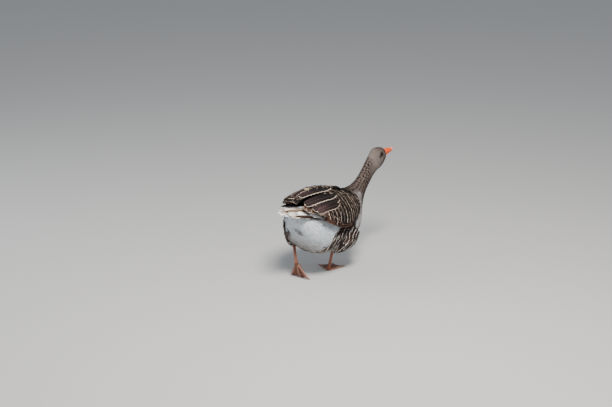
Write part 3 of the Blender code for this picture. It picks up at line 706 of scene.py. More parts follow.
def relax_hind(thing):
    """Even out the fold between thigh, belly and tail, as the plumage does."""
    points = verts_of(thing)
    a, b = rows_of(thing.data.edges, "vertices", 2, np.int32).T
    number = len(points)
    degree = np.bincount(a, minlength=number) + np.bincount(b, minlength=number)
    _, y, z = level(points).T
    weight = smooth(y, -0.045, 0.020) * fade(z, 0.285, 0.315) * smooth(z, 0.140, 0.165) * 0.5
    for _ in range(SMOOTHED_PASSES):
        sums = [np.bincount(a, v[b], number) + np.bincount(b, v[a], number) for v in points.T]
        points += (np.stack(sums, 1) / degree[:, None] - points) * weight[:, None]
    move_verts(thing, points)


skin = remeshed("shell_body", FLESH_NODES, 0.0032, 6)
relax_hind(skin)
body = Shell(skin)
cad_points, cad_tris, cad_owner = node_arrays(FLESH_NODES)
cad_tree = BVHTree.FromPolygons(cad_points.tolist(), cad_tris.tolist())
skin.name = "skin"
skin.data.name = "skin"
# the number in FLESH_NODES of the node nearest to each vertex
vertex_owner = cad_owner[[cad_tree.find_nearest(point)[2] for point in body.verts.tolist()]]
level_verts = level(body.verts)
depth = np.array(list(COAT_DEPTH.values()))[vertex_owner]
move_verts(skin, body.verts - body.normals * depth[:, None])
tint, _ = body_markings(level_verts)
on_wing = np.isin(vertex_owner, [FLESH_NODES.index(n) for n in ("wing_left", "wing_right")])
# painted shade: the wing skin between the coverts is near black, turning to a dark neck brown towards the
# shoulder
tint[on_wing] = mix(DEEP_SHADE, NECK * 0.7, smooth(-level_verts[on_wing, 1], 0.155, 0.190))
tint[vertex_owner == FLESH_NODES.index("tail")] = RUMP
add_values(skin.data, "tint", tint)
shaded_down = skin_material()
finish_solid(skin, shaded_down, "white_plumage", *FLESH_NODES)

plumage = plumage_material("plumage_soft", 0.72, (0.55, 0.95), 0.30, 0.22, 0.05, (0.0, 0.55, 0.60))
vane_plumage = plumage_material("plumage_vane", 0.60, (0.40, 0.62), 0.55, 0.55, 0.28, (0.35, 0.88, 0.30))

# ---------------------------------------------------------------- small feathers over head, neck and trunk
EYE_RING = 0.0082            # radius round the eye's middle where no feather grows
UNDER_FLANK = 0.30           # share of the small feathers that are kept under the flank's vanes
tri_owner = vertex_owner[body.tris[:, 0]]
tri_level = level_verts[body.tris[:, 0]]


def node_mask(*names):
    return np.isin(tri_owner, [FLESH_NODES.index(n) for n in names])


def body_flow(places):
    """Backward along the axis at level places, with a slight fall on the flanks."""
    backward = along_axis(places)[2]
    fall = smooth(np.abs(places[:, 0]), 0.03, 0.12) * fade(-places[:, 1], 0.20, 0.26) * 0.35
    backward[:, 2] -= fall
    return posed_direction(places, backward)


def turned(directions, normals, degrees):
    """Directions turned about the normals by random angles of the given spread."""
    angle = np.radians(rng.normal(0.0, degrees, len(directions)))[:, None]
    return directions * np.cos(angle) + np.cross(normals, directions) * np.sin(angle)


def soft_coat(name, mask, spacing, length, width, slot, spread=7.0, shorter=1.0, grown=1.0, **style):
    """Tufts over part of the body; shorter by a share at the bill, smaller by a share at the nape."""
    roots = scatter(body, mask, spacing)
    places = level(roots)
    eye = np.abs(places - np.array([0.0, EYE_PLACE[1], EYE_PLACE[2]]))
    gap = np.sqrt((eye[:, 0] - abs(EYE_PLACE[0])) ** 2 + eye[:, 1] ** 2 + eye[:, 2] ** 2)
    keep = gap > EYE_RING
    keep &= (flank_mask(places) < 0.5) | (rng.random(len(roots)) < UNDER_FLANK)
    roots, places, gap = roots[keep], places[keep], gap[keep]
    flows = turned(body_flow(places), body.nearest(roots)[1], spread)
    size = 1.0 - (1.0 - shorter) * smooth(-places[:, 1], 0.385, 0.435)
    size = size * (1.0 - (1.0 - grown) * smooth(-places[:, 1], 0.285, 0.355))
    lengths = length * size * rng.uniform(0.82, 1.15, len(roots)) * np.clip((gap - 0.0060) / 0.010, 0.3, 1.0)
    widths = width * np.sqrt(size) * rng.uniform(0.85, 1.15, len(roots))
    coat = Coat(name, TUFT_STEPS, TUFT_COLUMNS)
    lay(coat, body, roots, flows, lengths, widths, *body_markings(places), unwrap_of(places), **style)
    coat.build(plumage)


def unwrap_of(places):
    """Where level places lie on the unwrap of the skin: (share of the axis, angle round it)."""
    return np.stack(along_axis(places)[:2], 1)


soft_coat("coat_head", node_mask("head"), 0.00118, 0.0080, 0.0020, "taupe_plumage", shorter=0.62, spread=5.0,
          sink=0.0012, rise=0.0003, cup=0.22, widest=0.40, power=1.7, tip_band=0.3, jitter=0.00015)
soft_coat("coat_neck", node_mask("neck"), 0.00165, 0.0130, 0.0033, "taupe_plumage", grown=0.62, spread=6.0,
          sink=0.0028, rise=0.0008, cup=0.22, widest=0.42, power=1.7, tip_band=0.35, jitter=0.0006)
front = -tri_level[:, 1] > 0.05
trunk_mask = node_mask("trunk", "thigh_left", "thigh_right")
loose = {"rise": 0.0010, "cup": 0.20, "widest": 0.5, "tip_band": 0.5}
soft_coat("coat_breast", trunk_mask & front, 0.0029, 0.022, 0.0066, "white_plumage",
          sink=0.0050, power=2.0, jitter=0.0009, **loose)
soft_coat("coat_belly", trunk_mask & ~front, 0.0030, 0.030, 0.0072, "white_plumage", spread=10.0,
          sink=0.0052, power=1.7, jitter=0.0012, **loose)


# ---------------------------------------------------------------- flank feathers
FLANK_SPACING = 0.0086
FLANK_FALL = np.array([0.0, 1.0, -0.85])        # level direction in which they hang
FLANK_STEEPEST = 0.74        # they don't grow where that direction runs into the body more than this


def flank_vanes():
    roots = scatter(body, trunk_mask, FLANK_SPACING)
    roots = roots[flank_mask(level(roots)) > 0.30]
    places = level(roots)
    normals = body.nearest(roots)[1]
    backward = posed_direction(places, np.tile(FLANK_FALL, (len(roots), 1)))
    across = np.abs(np.sum(unit(backward) * normals, 1)) < FLANK_STEEPEST
    roots, places = roots[across], places[across]
    flows = turned(backward[across], normals[across], 7.0)
    count = len(roots)
    lengths = rng.uniform(0.055, 0.086, count)
    widths = rng.uniform(0.0150, 0.0210, count)
    tints = mix(FLANK, FLANK_PALE, rng.random(count) ** 2.5)
    trims = FLANK_TRIM * np.where(rng.random((count, 1)) < 0.66, 1.05, 0.22)
    coat = Coat("coat_flank")
    lay(coat, body, roots, flows, lengths, widths, tints, trims, unwrap_of(places), sink=0.0055,
        rise=rng.uniform(0.0015, 0.0050, count), cup=0.30, widest=0.5, power=1.8, jitter=0.0008, tilt=0.12,
        edge=rng.uniform(0.0009, 0.0018, count), cling=0.45, one_side=1.0, straight=0.45)
    coat.build(vane_plumage)


flank_vanes()


# ---------------------------------------------------------------- wings
COVERT_BAND = 0.049          # between the bands of paler covert tips
COVERTS_FRONT = 0.203        # forward of the first row of coverts, and of the last
COVERTS_BACK = -0.118
COVERT_ANGLES = (-24.0, 93.0)
COVERT_SHIFT = 0.37          # share of a covert's gap by which each row is set aside from the one before
COVERT_OVERLAP = 1.62        # a covert's width for the gap to its neighbour
WING_ROUND = 0.13            # mean radius of the wings' outer side
SECONDARIES = 6
PRIMARIES = 6
CAPE_CENTRE = 0.272          # height of the axis that wing places are told around, level frame
# (forward, lowest angle of the covert rows): below it the long flight feathers show
COVERT_BORDER = np.array([
    (-0.150, 62.0), (-0.130, 52.0), (-0.110, 37.0), (-0.080, 27.0), (-0.040, 15.0), (0.000, 4.0),
    (0.030, -24.0),
])


def temporary_shell(name, nodes, voxel, smoothing):
    thing = remeshed(name, nodes, voxel, smoothing)
    shell = Shell(thing)
    bpy.data.meshes.remove(thing.data)
    return shell


def covert_border(forward):
    return np.interp(forward, COVERT_BORDER[:, 0], COVERT_BORDER[:, 1])


def groove_angle(forward):
    """Angle on the right wing of the furrow under the left wing's edge, where coverts are left out and the
    skin's painted shade shows.
    """
    return np.interp(forward, (-0.165, -0.015), (85.0, 73.0))


def wing_places(shell, side, reach, spots):
    """Frame places on the wing's outer side from (forward, angle in degrees) pairs."""
    angle = np.radians(spots[:, 1])
    zero = np.zeros(len(spots))
    ahead = np.where(spots[:, 0] < 0.0, spots[:, 0] * reach, spots[:, 0])
    inner = np.stack([zero, -ahead, zero + CAPE_CENTRE], 1)
    outer = inner + np.stack([side * np.cos(angle), zero, np.sin(angle)], 1) * 0.3
    start = posed(outer)
    return shell.hit(start, unit(posed(inner) - start))


def wing_flow(side, angles):
    """Level direction of the wing's feathers: straight back above, along the rising hind edge below."""
    low = fade(angles, 12.0, 62.0)
    return np.stack([-side * 0.28 * low, np.ones(len(angles)), 0.02 + 0.36 * low], 1)


def wing_rows():
    """(forward, angle, length, width) of the coverts: small at the shoulder, longer behind."""
    rows = []
    f = COVERTS_FRONT
    number = 0
    while f > COVERTS_BACK:
        grown = float(smooth(-f, -0.165, -0.02))
        at_front = float(smooth(f, 0.165, 0.190))
        step = 0.0175 + 0.0050 * grown - 0.0085 * at_front
        gap = 0.0150 + 0.0030 * grown - 0.0020 * at_front
        turn = math.degrees(gap / WING_ROUND)
        low, high = COVERT_ANGLES
        for a in np.arange(low + (number * COVERT_SHIFT % 1.0) * turn, high, turn):
            if a >= covert_border(f):
                place = (f + rng.normal(0.0, 0.0009), a + rng.normal(0.0, 0.6))
                rows.append((*place, 2.1 * step + 0.011, gap * COVERT_OVERLAP))
        f -= step
        number += 1
    return np.array(rows)


def varied(colour, count, low, high):
    """A colour for each of many feathers, darker or brighter by chance."""
    return colour * rng.uniform(low, high, (count, 1))


def lay_rows(coat, shell, side, reach, rows, tints, trims, edge, turn=2.0, flows=None, **style):
    """Vanes at (forward, angle, length, width) rows of one wing, in given colours."""
    kept, roots = wing_places(shell, side, reach, rows)
    rows = rows[kept]
    flows = wing_flow(side, rows[:, 1]) if flows is None else flows[kept]
    flows = turned(posed_direction(level(roots), flows), shell.nearest(roots)[1], turn)
    for key, value in style.items():
        if isinstance(value, np.ndarray):
            style[key] = value[kept]
    lay(coat, shell, roots, flows, rows[:, 2], rows[:, 3], tints[kept], trims[kept], rows[:, :2],
        edge=edge[kept], tilt=side * 0.13, **style)


def lay_coverts(side_name, side, reach, shell):
    coat = Coat("coat_wing_" + side_name)
    rows = wing_rows()
    if side < 0:
        rows = rows[(rows[:, 1] < groove_angle(rows[:, 0]) - 4.0) | (rows[:, 0] > 0.012)]
        rows = rows[(rows[:, 1] < 41.0) | (rows[:, 0] > -0.010)]
    count = len(rows)
    f, a = rows[:, 0], rows[:, 1]
    wave = 0.5 + 0.5 * np.sin(f * 95.0 + a * 0.09) * np.cos(a * 0.16 - f * 40.0)
    dark = np.clip(wave * 0.6 + rng.uniform(-0.45, 0.22, count), 0.0, 1.0)
    corner = smooth(-a, -26.0, -10.0) * fade(f, 0.07, 0.10)
    tints = mix(WING, WING_PALE, dark * (1.0 - corner * 0.9))
    banded = 0.5 + 0.5 * np.sin(f * 2.0 * math.pi / COVERT_BAND + a * 0.02)
    worn = rng.uniform(0.15, 0.90, count) + 0.75 * banded ** 3
    trims = mix(WING_TRIM, FLANK_TRIM, corner * 0.35) * worn[:, None]
    edge = 0.00054 + rng.uniform(-0.00014, 0.00026, count)
    lay_rows(coat, shell, side, reach, rows, tints, trims, edge, sink=0.0040, rise=0.0016, cup=0.10,
             widest=0.78, power=2.7, jitter=0.0005, tip_share=5.0, side_fade=1.0)
    tips = np.array([(f, covert_border(f) + 5.0, 0.027, 0.0145) for f in np.linspace(-0.128, 0.005, 13)])
    count = len(tips)
    lay_rows(coat, shell, side, reach, tips, np.tile(WING, (count, 1)), varied(WING_TRIM, count, 0.8, 1.3),
             np.full(count, 0.0010), sink=0.0035, rise=0.0014, cup=0.10, widest=0.72, power=2.4)
    coat.build(vane_plumage)


# (angle, forward of the tip, length, width) of the tertials, lowest first
TERTIALS = np.array([
    (42.0, -0.104, 0.085, 0.024), (50.0, -0.124, 0.105, 0.026), (59.0, -0.146, 0.140, 0.030),
    (70.0, -0.156, 0.165, 0.040), (82.0, -0.158, 0.160, 0.034),
])
# (forward, angle, length, width) of the big feathers that fall from the shoulder over the back
SCAPULARS = np.array([
    (0.150, 84.0, 0.052, 0.028), (0.146, 70.0, 0.050, 0.027), (0.140, 57.0, 0.046, 0.026),
    (0.122, 78.0, 0.058, 0.031), (0.118, 64.0, 0.056, 0.030), (0.112, 51.0, 0.050, 0.027),
    (0.094, 85.0, 0.062, 0.034), (0.090, 71.0, 0.062, 0.033), (0.084, 58.0, 0.058, 0.030),
    (0.078, 45.0, 0.052, 0.027),
    (0.064, 79.0, 0.068, 0.036), (0.058, 65.0, 0.066, 0.034), (0.052, 52.0, 0.060, 0.031),
    (0.034, 86.0, 0.074, 0.037), (0.028, 72.0, 0.074, 0.036), (0.022, 59.0, 0.068, 0.033),
    (0.002, 80.0, 0.080, 0.038), (-0.004, 66.0, 0.078, 0.036),
])


def lay_long(side_name, side, reach, shell):
    """The tertials over the folded wing's hind part, and the scapulars that cover their roots."""
    coat = Coat("coat_tertials_" + side_name, LONG_STEPS)
    angle, tip, length, width = (TERTIALS[:3] if side < 0 else TERTIALS).T
    rows = np.stack([tip + length - 0.002, angle, length, width], 1)
    count = len(rows)
    tints = varied(TERTIAL, count, 0.8, 1.5)
    trims = varied(WING_TRIM, count, 0.6, 1.0)
    flows = np.stack([
        -side * fade(angle, 40.0, 70.0) * 0.16, np.ones(count), fade(angle, 40.0, 66.0) * 0.22,
    ], 1)
    for i in range(count):
        pick = slice(i, i + 1)
        lay_rows(coat, shell, side, reach, rows[pick], tints[pick], trims[pick], np.array([0.0009]),
                 turn=0.1, flows=flows[pick], sink=0.003, rise=0.0030 + 0.0012 * i, cup=0.16,
                 widest=0.82, power=2.6, wave=0.04)
    scapulars = SCAPULARS.copy()
    if side < 0:
        scapulars[:, 1] -= 7.0 * smooth(-scapulars[:, 0], -0.060, 0.0)
        scapulars = scapulars[(scapulars[:, 1] < 70.0) | (scapulars[:, 0] > 0.040)]
        scapulars = scapulars[scapulars[:, 0] > 0.015]
    count = len(scapulars)
    tints = mix(WING, TERTIAL, rng.random(count) ** 1.3)
    trims = varied(WING_TRIM, count, 0.6, 1.25)
    edge = rng.uniform(0.0010, 0.0017, count)
    lay_rows(coat, shell, side, reach, scapulars, tints, trims, edge, turn=3.0,
             sink=0.0035, rise=np.linspace(0.0052, 0.0036, count), cup=0.13, widest=0.78, power=2.6,
             wave=0.03, tip_share=2.2, side_fade=0.8)
    coat.build(vane_plumage)


def lay_flight(side_name, side, reach, shell):
    """Secondaries: the red-brown strands along the folded wing's lower hind edge."""
    coat = Coat("coat_secondaries_" + side_name, LONG_STEPS)
    share = np.arange(SECONDARIES) / (SECONDARIES - 1)
    same = np.ones(SECONDARIES)
    rows = [0.020 - 0.012 * share, -6.0 + 27.0 * share, 0.125 + 0.030 * share, 0.015 + 0.002 * share]
    rows = np.stack(rows, 1)
    kept, roots = wing_places(shell, side, reach, rows)
    places = level(roots)
    aims = [side * 0.062 * same, 0.150 * reach + 0.012 * share, 0.340 + 0.016 * share]
    aims = np.stack(aims, 1)[kept]
    tints = varied(FLIGHT, SECONDARIES, 0.45, 1.25)[kept]
    trims = varied(FLIGHT * 3.0, SECONDARIES, 0.7, 1.3)[kept]
    flows = posed_direction(places, aims - places)
    lay(coat, shell, roots, flows, rows[kept, 2], rows[kept, 3], tints, trims, rows[kept, :2], sink=0.012,
        rise=(0.0018 + 0.0006 * share)[kept], cup=0.22, widest=0.70, power=2.0,
        tilt=side * 0.20, edge=0.0010)
    coat.build(vane_plumage)


for side_name, side, reach in (("left", 1.0, 1.2), ("right", -1.0, 1.0)):
    shell = temporary_shell("shell_wing", ["wing_" + side_name], 0.0030, 4)
    for cover in (lay_coverts, lay_flight, lay_long):
        cover(side_name, side, reach, shell)


# ---------------------------------------------------------------- long feathers that stand clear of the body
ZIGZAG = 0.021               # from one notch of a worn feather edge to the next
TAN = rgb(0.230, 0.140, 0.100)
WHITE = rgb(0.92, 0.90, 0.88)
SHADOW = FLIGHT * 0.35
PALE = CREAM * 0.45 + WHITE * 0.55


def free_vane(coat, start, end, width, roll, bow, tint, trim, edge, worn=0.0, both=True, droop=0.0,
              power=2.6):
    """One feather between two (forward, left, up) places of the level bird.

    roll turns its face from straight up to the right, in degrees; bow lifts its middle; a worn
    feather's right-hand edge is notched; both says whether the left-hand edge is pale too.
    """
    steps, columns = coat.steps, coat.columns
    start = np.array([start[1], -start[0], start[2]])
    end = np.array([end[1], -end[0], end[2]])
    face = np.array([-math.sin(math.radians(roll)), 0.0, math.cos(math.radians(roll))])
    length = np.linalg.norm(end - start)
    path = start + (end - start) * steps[:, None]
    lift = 4.0 * bow * steps * (1.0 - steps) - droop * smooth(steps, 0.75, 1.0) - 0.003 * (1.0 - steps) ** 3
    way = unit((end - start)[None])[0]
    across = unit(np.cross(way, face)[None])[0]
    face = np.cross(across, way)
    half = width / 2 * outline(steps, 0.84, power)[:, None]
    phase = rng.random()
    saw = np.abs(((length * steps / ZIGZAG + phase) % 1.0) - 0.62)
    saw = np.where(saw > 0.38, (0.62 - saw) / 0.24, saw / 0.38)
    right = 1.0 - worn * (1.0 - np.clip(saw, 0.0, 1.0)) * np.clip(steps * 5.0, 0.0, 1.0)
    spread = half * columns * np.where(columns < 0.0, right[:, None], 1.0)
    height = lift[:, None] - 0.10 * half * columns ** 2
    place = path[:, None] + across * spread[..., None] + face * height[..., None]
    to_side = half * (1.0 - np.abs(columns) if both else 1.0 + columns)
    to_tip = (length * (1.0 - steps))[:, None]
    rim = np.clip(1.0 - np.minimum(to_side, to_tip) / (2.0 * edge), 0.0, 1.0)
    coat.add(place=posed(place.reshape(-1, 3)).reshape(1, *place.shape), tint=tint[None], trim=trim[None],
             rim=rim[None], barb=(length * steps[:, None] - np.abs(spread))[None], tone=rng.random(1),
             root=np.array([[start[1] * 10.0 + rng.random(), math.degrees(math.atan2(start[2], start[0]))]]))


# start, end, width, roll, bow, colour, edge colour, edge width, then what else free_vane takes
RIGHT_LONG = (
    ((-0.050, -0.110, 0.360), (-0.126, -0.114, 0.341), 0.020, 60, 0.002, FLIGHT, WING_TRIM, 0.0010),
    ((-0.045, -0.106, 0.366), (-0.140, -0.102, 0.352), 0.022, 54, 0.002, FLIGHT * 0.7, CREAM, 0.0011),
    ((-0.055, -0.086, 0.368), (-0.165, -0.072, 0.356), 0.024, 45, 0.002, FLIGHT, WING_TRIM, 0.0011),
    ((-0.055, -0.070, 0.372), (-0.182, -0.058, 0.361), 0.026, 38, 0.002, FLIGHT * 0.8, CREAM, 0.0013),
    ((-0.060, -0.054, 0.376), (-0.190, -0.045, 0.367), 0.028, 30, 0.002, FLIGHT, WING_TRIM, 0.0012),
    ((-0.010, -0.114, 0.371), (-0.150, -0.095, 0.359), 0.032, 48, 0.007,
     TERTIAL * 2.0, CREAM, 0.0014, 0.26, False),
    ((0.004, -0.098, 0.385), (-0.162, -0.078, 0.368), 0.037, 38, 0.007,
     TERTIAL * 1.5, CREAM, 0.0015, 0.24, False),
    ((0.006, -0.075, 0.399), (-0.180, -0.042, 0.383), 0.043, 22, 0.009,
     TERTIAL, CREAM, 0.0020, 0.24, False),
)
# the last two are the blotched pale feathers of the back
BLOTCH = (FLIGHT, 0.0012, 0.35, False, 0.0, 1.5)
LEFT_LONG = (
    ((-0.020, 0.030, 0.396), (-0.165, 0.034, 0.378), 0.038, -8, 0.006, TERTIAL, WING_TRIM, 0.0010),
    ((0.034, -0.020, 0.407), (-0.152, 0.015, 0.396), 0.036, 6, 0.006,
     TERTIAL * 1.3, CREAM, 0.0026, 0.34, False),
    ((0.020, 0.012, 0.408), (-0.118, 0.030, 0.397), 0.034, -2, 0.004, TERTIAL, WING_TRIM, 0.0012),
    ((-0.024, 0.028, 0.4040), (-0.084, 0.042, 0.4055), 0.017, 14, 0.001, rgb(0.52, 0.40, 0.27), *BLOTCH),
    ((0.046, -0.026, 0.4000), (-0.014, -0.012, 0.4070), 0.015, 14, 0.001, rgb(0.40, 0.245, 0.14), *BLOTCH),
)
TAIL_SIDE = (
    ((-0.100, -0.094, 0.312), (-0.205, -0.040, 0.332), 0.010, 42, 0.002, SHADOW, TAN * 0.5, 0.0008),
    ((-0.066, -0.114, 0.312), (-0.146, -0.066, 0.331), 0.017, 52, 0.003, WHITE, WHITE, 0.0016),
    ((-0.165, -0.055, 0.328), (-0.246, -0.014, 0.338), 0.011, 42, 0.002, SHADOW, TAN * 0.5, 0.0008),
    ((-0.165, -0.046, 0.338), (-0.250, -0.010, 0.346), 0.017, 35, 0.002, PALE, WHITE, 0.0016),
    ((-0.128, -0.070, 0.334), (-0.208, -0.026, 0.345), 0.018, 35, 0.002, PALE, WHITE, 0.0016),
    ((-0.080, -0.100, 0.322), (-0.166, -0.046, 0.341), 0.019, 40, 0.003, WHITE, WHITE, 0.0016),
    ((-0.110, -0.046, 0.343), (-0.226, -0.006, 0.348), 0.018, 22, 0.002, TAN, CREAM * 0.6, 0.0010),
    ((-0.110, -0.030, 0.346), (-0.232, 0.004, 0.350), 0.018, 14, 0.002, TAN * 1.3, CREAM * 0.7, 0.0010),
    ((-0.136, -0.026, 0.345), (-0.236, 0.012, 0.351), 0.018, 8, 0.002, SHADOW * 0.5, TAN, 0.0008),
    ((-0.148, -0.018, 0.350), (-0.246, 0.020, 0.356), 0.017, 8, 0.003, CREAM, CREAM * 0.8, 0.0012),
)


def lay_free(name, vanes, frayed=0):
    """Long feathers from a table, then the frayed white ones of the tail's tip."""
    coat = Coat(name, FREE_STEPS)
    for vane in vanes:
        free_vane(coat, *vane)
    for i in range(frayed):
        share = i / (frayed - 1)
        start = (-0.205, 0.020 - 0.036 * share, 0.347 - 0.004 * share)
        end = (-0.262 - 0.008 * math.sin(i * 2.3), 0.044 - 0.046 * share, 0.338 - 0.006 * math.cos(i * 1.7))
        free_vane(coat, start, end, 0.011, 25 * share, 0.001, WHITE, WHITE, 0.0010, worn=0.3,
                  droop=0.003 * rng.random(), power=1.3)
    coat.build(vane_plumage)


lay_free("coat_long_right", RIGHT_LONG)
lay_free("coat_long_left", LEFT_LONG)
lay_free("coat_tail_side", TAIL_SIDE, 9)


# ---------------------------------------------------------------- primaries: the stack under each wing
STACK_START = (0.1385, -0.080, 0.256)
STACK_ENDS = {"left": (0.0960, 0.172, 0.327), "right": (0.1120, 0.128, 0.322)}


def lay_primaries(side_name, side):
    node = "primaries_" + side_name
    stack = remeshed("primaries_stack_" + side_name, [node], 0.0013, 2)
    shell = Shell(stack)
    end_x, end_y, end_z = STACK_ENDS[side_name]
    start = posed([(STACK_START[0] * side, STACK_START[1], STACK_START[2])])[0]
    end = posed([(end_x * side, end_y, end_z)])[0]
    reach = np.linalg.norm(end - start)
    way = (end - start) / reach
    out = np.array([side, 0.0, 0.0])
    down = unit(np.cross(way, out)[None])[0]
    down = down if down[2] < 0 else -down
    coat = Coat("coat_primaries_" + side_name, LONG_STEPS)
    for i in range(PRIMARIES):
        share = i / (PRIMARIES - 1)
        root = start + down * (0.010 - 0.018 * share) + way * 0.02 + out * 0.012
        tint = FLIGHT[None] * (0.22 + 0.5 * rng.random())
        length = np.array([reach * (0.84 + 0.12 * share) - 0.02])
        lay(coat, shell, root[None], way[None], length, np.array([0.014]), tint, FLIGHT[None] * 1.9,
            np.array([[share, share * 0.5]]), sink=0.0, rise=0.0005 + 0.0002 * i, cup=0.12, widest=0.72,
            power=1.7, tilt=side * 0.10, edge=0.0009)
    coat.build(vane_plumage)
    # painted shade: the stack that shows between the primaries' vanes is a third as bright as them
    add_values(stack.data, "tint", np.tile(FLIGHT * 0.35, (len(shell.verts), 1)))
    finish_solid(stack, shaded_down, "brown_plumage", node)


for side_name, side in SIDES:
    lay_primaries(side_name, side)


# ---------------------------------------------------------------- tail
TAIL_ROOT = 0.098
TAIL_END = 0.258
TAIL_SWING = 0.014
QUILLS = 15
QUILL_SPREAD = 0.052
TAIL_HEIGHT = 0.345
TAIL_CLEAR = 0.12            # how far over and under the tail the feathers' places are told from
TAIL_COVERT_GAP = 0.0110
# (back, length) of the rows of white coverts, hindmost first
TAIL_COVERTS = ((0.158, 0.036), (0.142, 0.040), (0.124, 0.044), (0.106, 0.046))


def tail_place(x, y, above):
    """Level place over or under the tail, x across and y back."""
    t = (y - TAIL_ROOT) / (TAIL_END - TAIL_ROOT)
    return (x + TAIL_SWING * t * t, y, TAIL_HEIGHT + (TAIL_CLEAR if above else -TAIL_CLEAR))


def lay_tail(shell, above):
    """Quills fanned over the tail, then rows of white coverts over their roots."""
    coat = Coat("coat_tail_top" if above else "coat_tail_under")
    quills = []
    for v in 2.0 * np.arange(QUILLS) / (QUILLS - 1) - 1.0:
        quills.append((v * QUILL_SPREAD, 0.126 - 0.006 * abs(v), 0.132 - 0.012 * v * v, 0.0205))
    coverts = []
    for r, (y, length) in enumerate(TAIL_COVERTS):
        half = 0.080 - 0.010 * (3 - r)
        for x in np.arange(-half, half + 1e-6, TAIL_COVERT_GAP):
            coverts.append((x + (r % 2) * 0.005, y, length * rng.uniform(0.85, 1.15), 0.018))
    for kind, rise, rows in (("quill", 0.0010, np.array(quills)), ("covert", 0.0036, np.array(coverts))):
        starts = np.array([tail_place(x, y, above) for x, y in rows[:, :2]])
        way = np.tile(np.array([0.0, 0.0, -1.0 if above else 1.0]), (len(rows), 1))
        kept, roots = shell.hit(posed(starts), posed_direction(starts, way))
        rows = rows[kept]
        count = len(roots)
        flows = np.stack([0.10 - 2.1 * rows[:, 0], np.ones(count), np.zeros(count)], 1)
        flows = posed_direction(level(roots), flows)
        v = rows[:, 0] / QUILL_SPREAD
        if kind == "quill":
            pale = smooth(np.abs(v), 0.62, 0.85)
            tints = mix(FLIGHT * 0.8, CREAM * 0.9, pale)
            trims = np.tile(CREAM * 1.08, (count, 1))
            edge = 0.0022
            lift = rise + np.abs(np.abs(v) - 1.0) * 0.0022
        else:
            side_dark = smooth(-rows[:, 0], 0.022, 0.034) * above
            tints = mix(RUMP, FLIGHT * 0.7, side_dark)
            trims = mix(RUMP * 1.08, TAN, side_dark)
            edge = 0.0015
            lift = np.full(count, rise)
        for outer in (True, False):
            pick = (v > 0) == outer
            lay(coat, shell, roots[pick], flows[pick], rows[pick, 2], rows[pick, 3], tints[pick], trims[pick],
                rows[pick, :2], sink=0.0015, rise=lift[pick], cup=0.12, widest=0.72, power=2.2, jitter=0.0003,
                tilt=-0.10 if outer == above else 0.10, edge=edge)
    coat.build(vane_plumage)


tail_shell = temporary_shell("shell_tail", ["tail"], 0.0022, 4)
lay_tail(tail_shell, True)
lay_tail(tail_shell, False)


# ---------------------------------------------------------------- bill, eyes, lids, legs and claws
def horn_material(name, rough, streak_scale, pit):
    """Horn: the mesh's own colour with growth streaks and small pits."""
    material, tree, shader = nodes_of(name, {"Specular IOR Level": 0.4})
    place = object_place(tree)
    streak = noise(tree, streak_scale, 4.0, place)
    fine = noise(tree, streak_scale * 9.0, 2.0, place)
    own_colour(tree, shader, times(tree, around_one(tree, streak, 0.55), around_one(tree, fine, 0.25)))
    fill_inputs(tree, shader, {"Roughness": plus(tree, rough, times(tree, fine, 0.18))})
    relief(tree, shader, fine, pit, 0.0004)
    return material


def scale_material():
    """Leg skin: small rounded scales with dark grooves, over the mesh's own colour."""
    material, tree, shader = nodes_of("leg_scales", {"Roughness": 0.55, "Specular IOR Level": 0.35})
    place = object_place(tree)
    cells = add_node(tree, "TexVoronoi", {"Scale": 420.0, "Vector": place}, feature="DISTANCE_TO_EDGE")
    gap = cells.outputs["Distance"]
    bright = times(tree, ramp_range(tree, gap, 0.02, 0.16, 0.45, 1.0),
                   around_one(tree, noise(tree, 38.0, 3.0, place), 1.1),
                   around_one(tree, noise(tree, 300.0, 3.0, place), 0.5))
    own_colour(tree, shader, bright)
    relief(tree, shader, gap, 0.7, 0.0006)
    return material


BILL_ROOT = (0.4623, 0.4788)         # forward and height of the middle of the bill's root
BILL_PITCH = math.radians(14.2)
BILL_LENGTH = 0.0535
BILL_PARTING = -0.0039               # height of the line between the halves over the bill's axis
NOSTRIL = (0.37, 0.0088)             # share of the bill's length, height over its axis
NOSTRIL_SLIT = (0.0046, 0.0015)      # half the length and height of the opening, and of its raised rim
NOSTRIL_RIM = (0.0075, 0.0036)
NAIL_START = 0.83
NAIL_EDGE = (0.0062, 0.0080)
RIDGE_STEP = 0.0021                  # between the ridges along the bill's cutting edges
ORANGE = rgb(0.90, 0.100, 0.008)
BILL_PINK = rgb(0.86, 0.33, 0.26)
BILL_RED = rgb(0.72, 0.065, 0.006)
NAIL_HORN = rgb(0.86, 0.56, 0.48)
# painted shade for the bill's hollows: the nostril's opening and the line between the halves
BILL_HOLLOW_SHADE = rgb(0.10, 0.012, 0.006)


def bill_coordinates(points):
    places = level(points)
    ahead = -places[:, 1] - BILL_ROOT[0]
    up = places[:, 2] - BILL_ROOT[1]
    cos, sin = math.cos(BILL_PITCH), math.sin(BILL_PITCH)
    return (ahead * cos + up * sin) / BILL_LENGTH, up * cos - ahead * sin, places[:, 0]


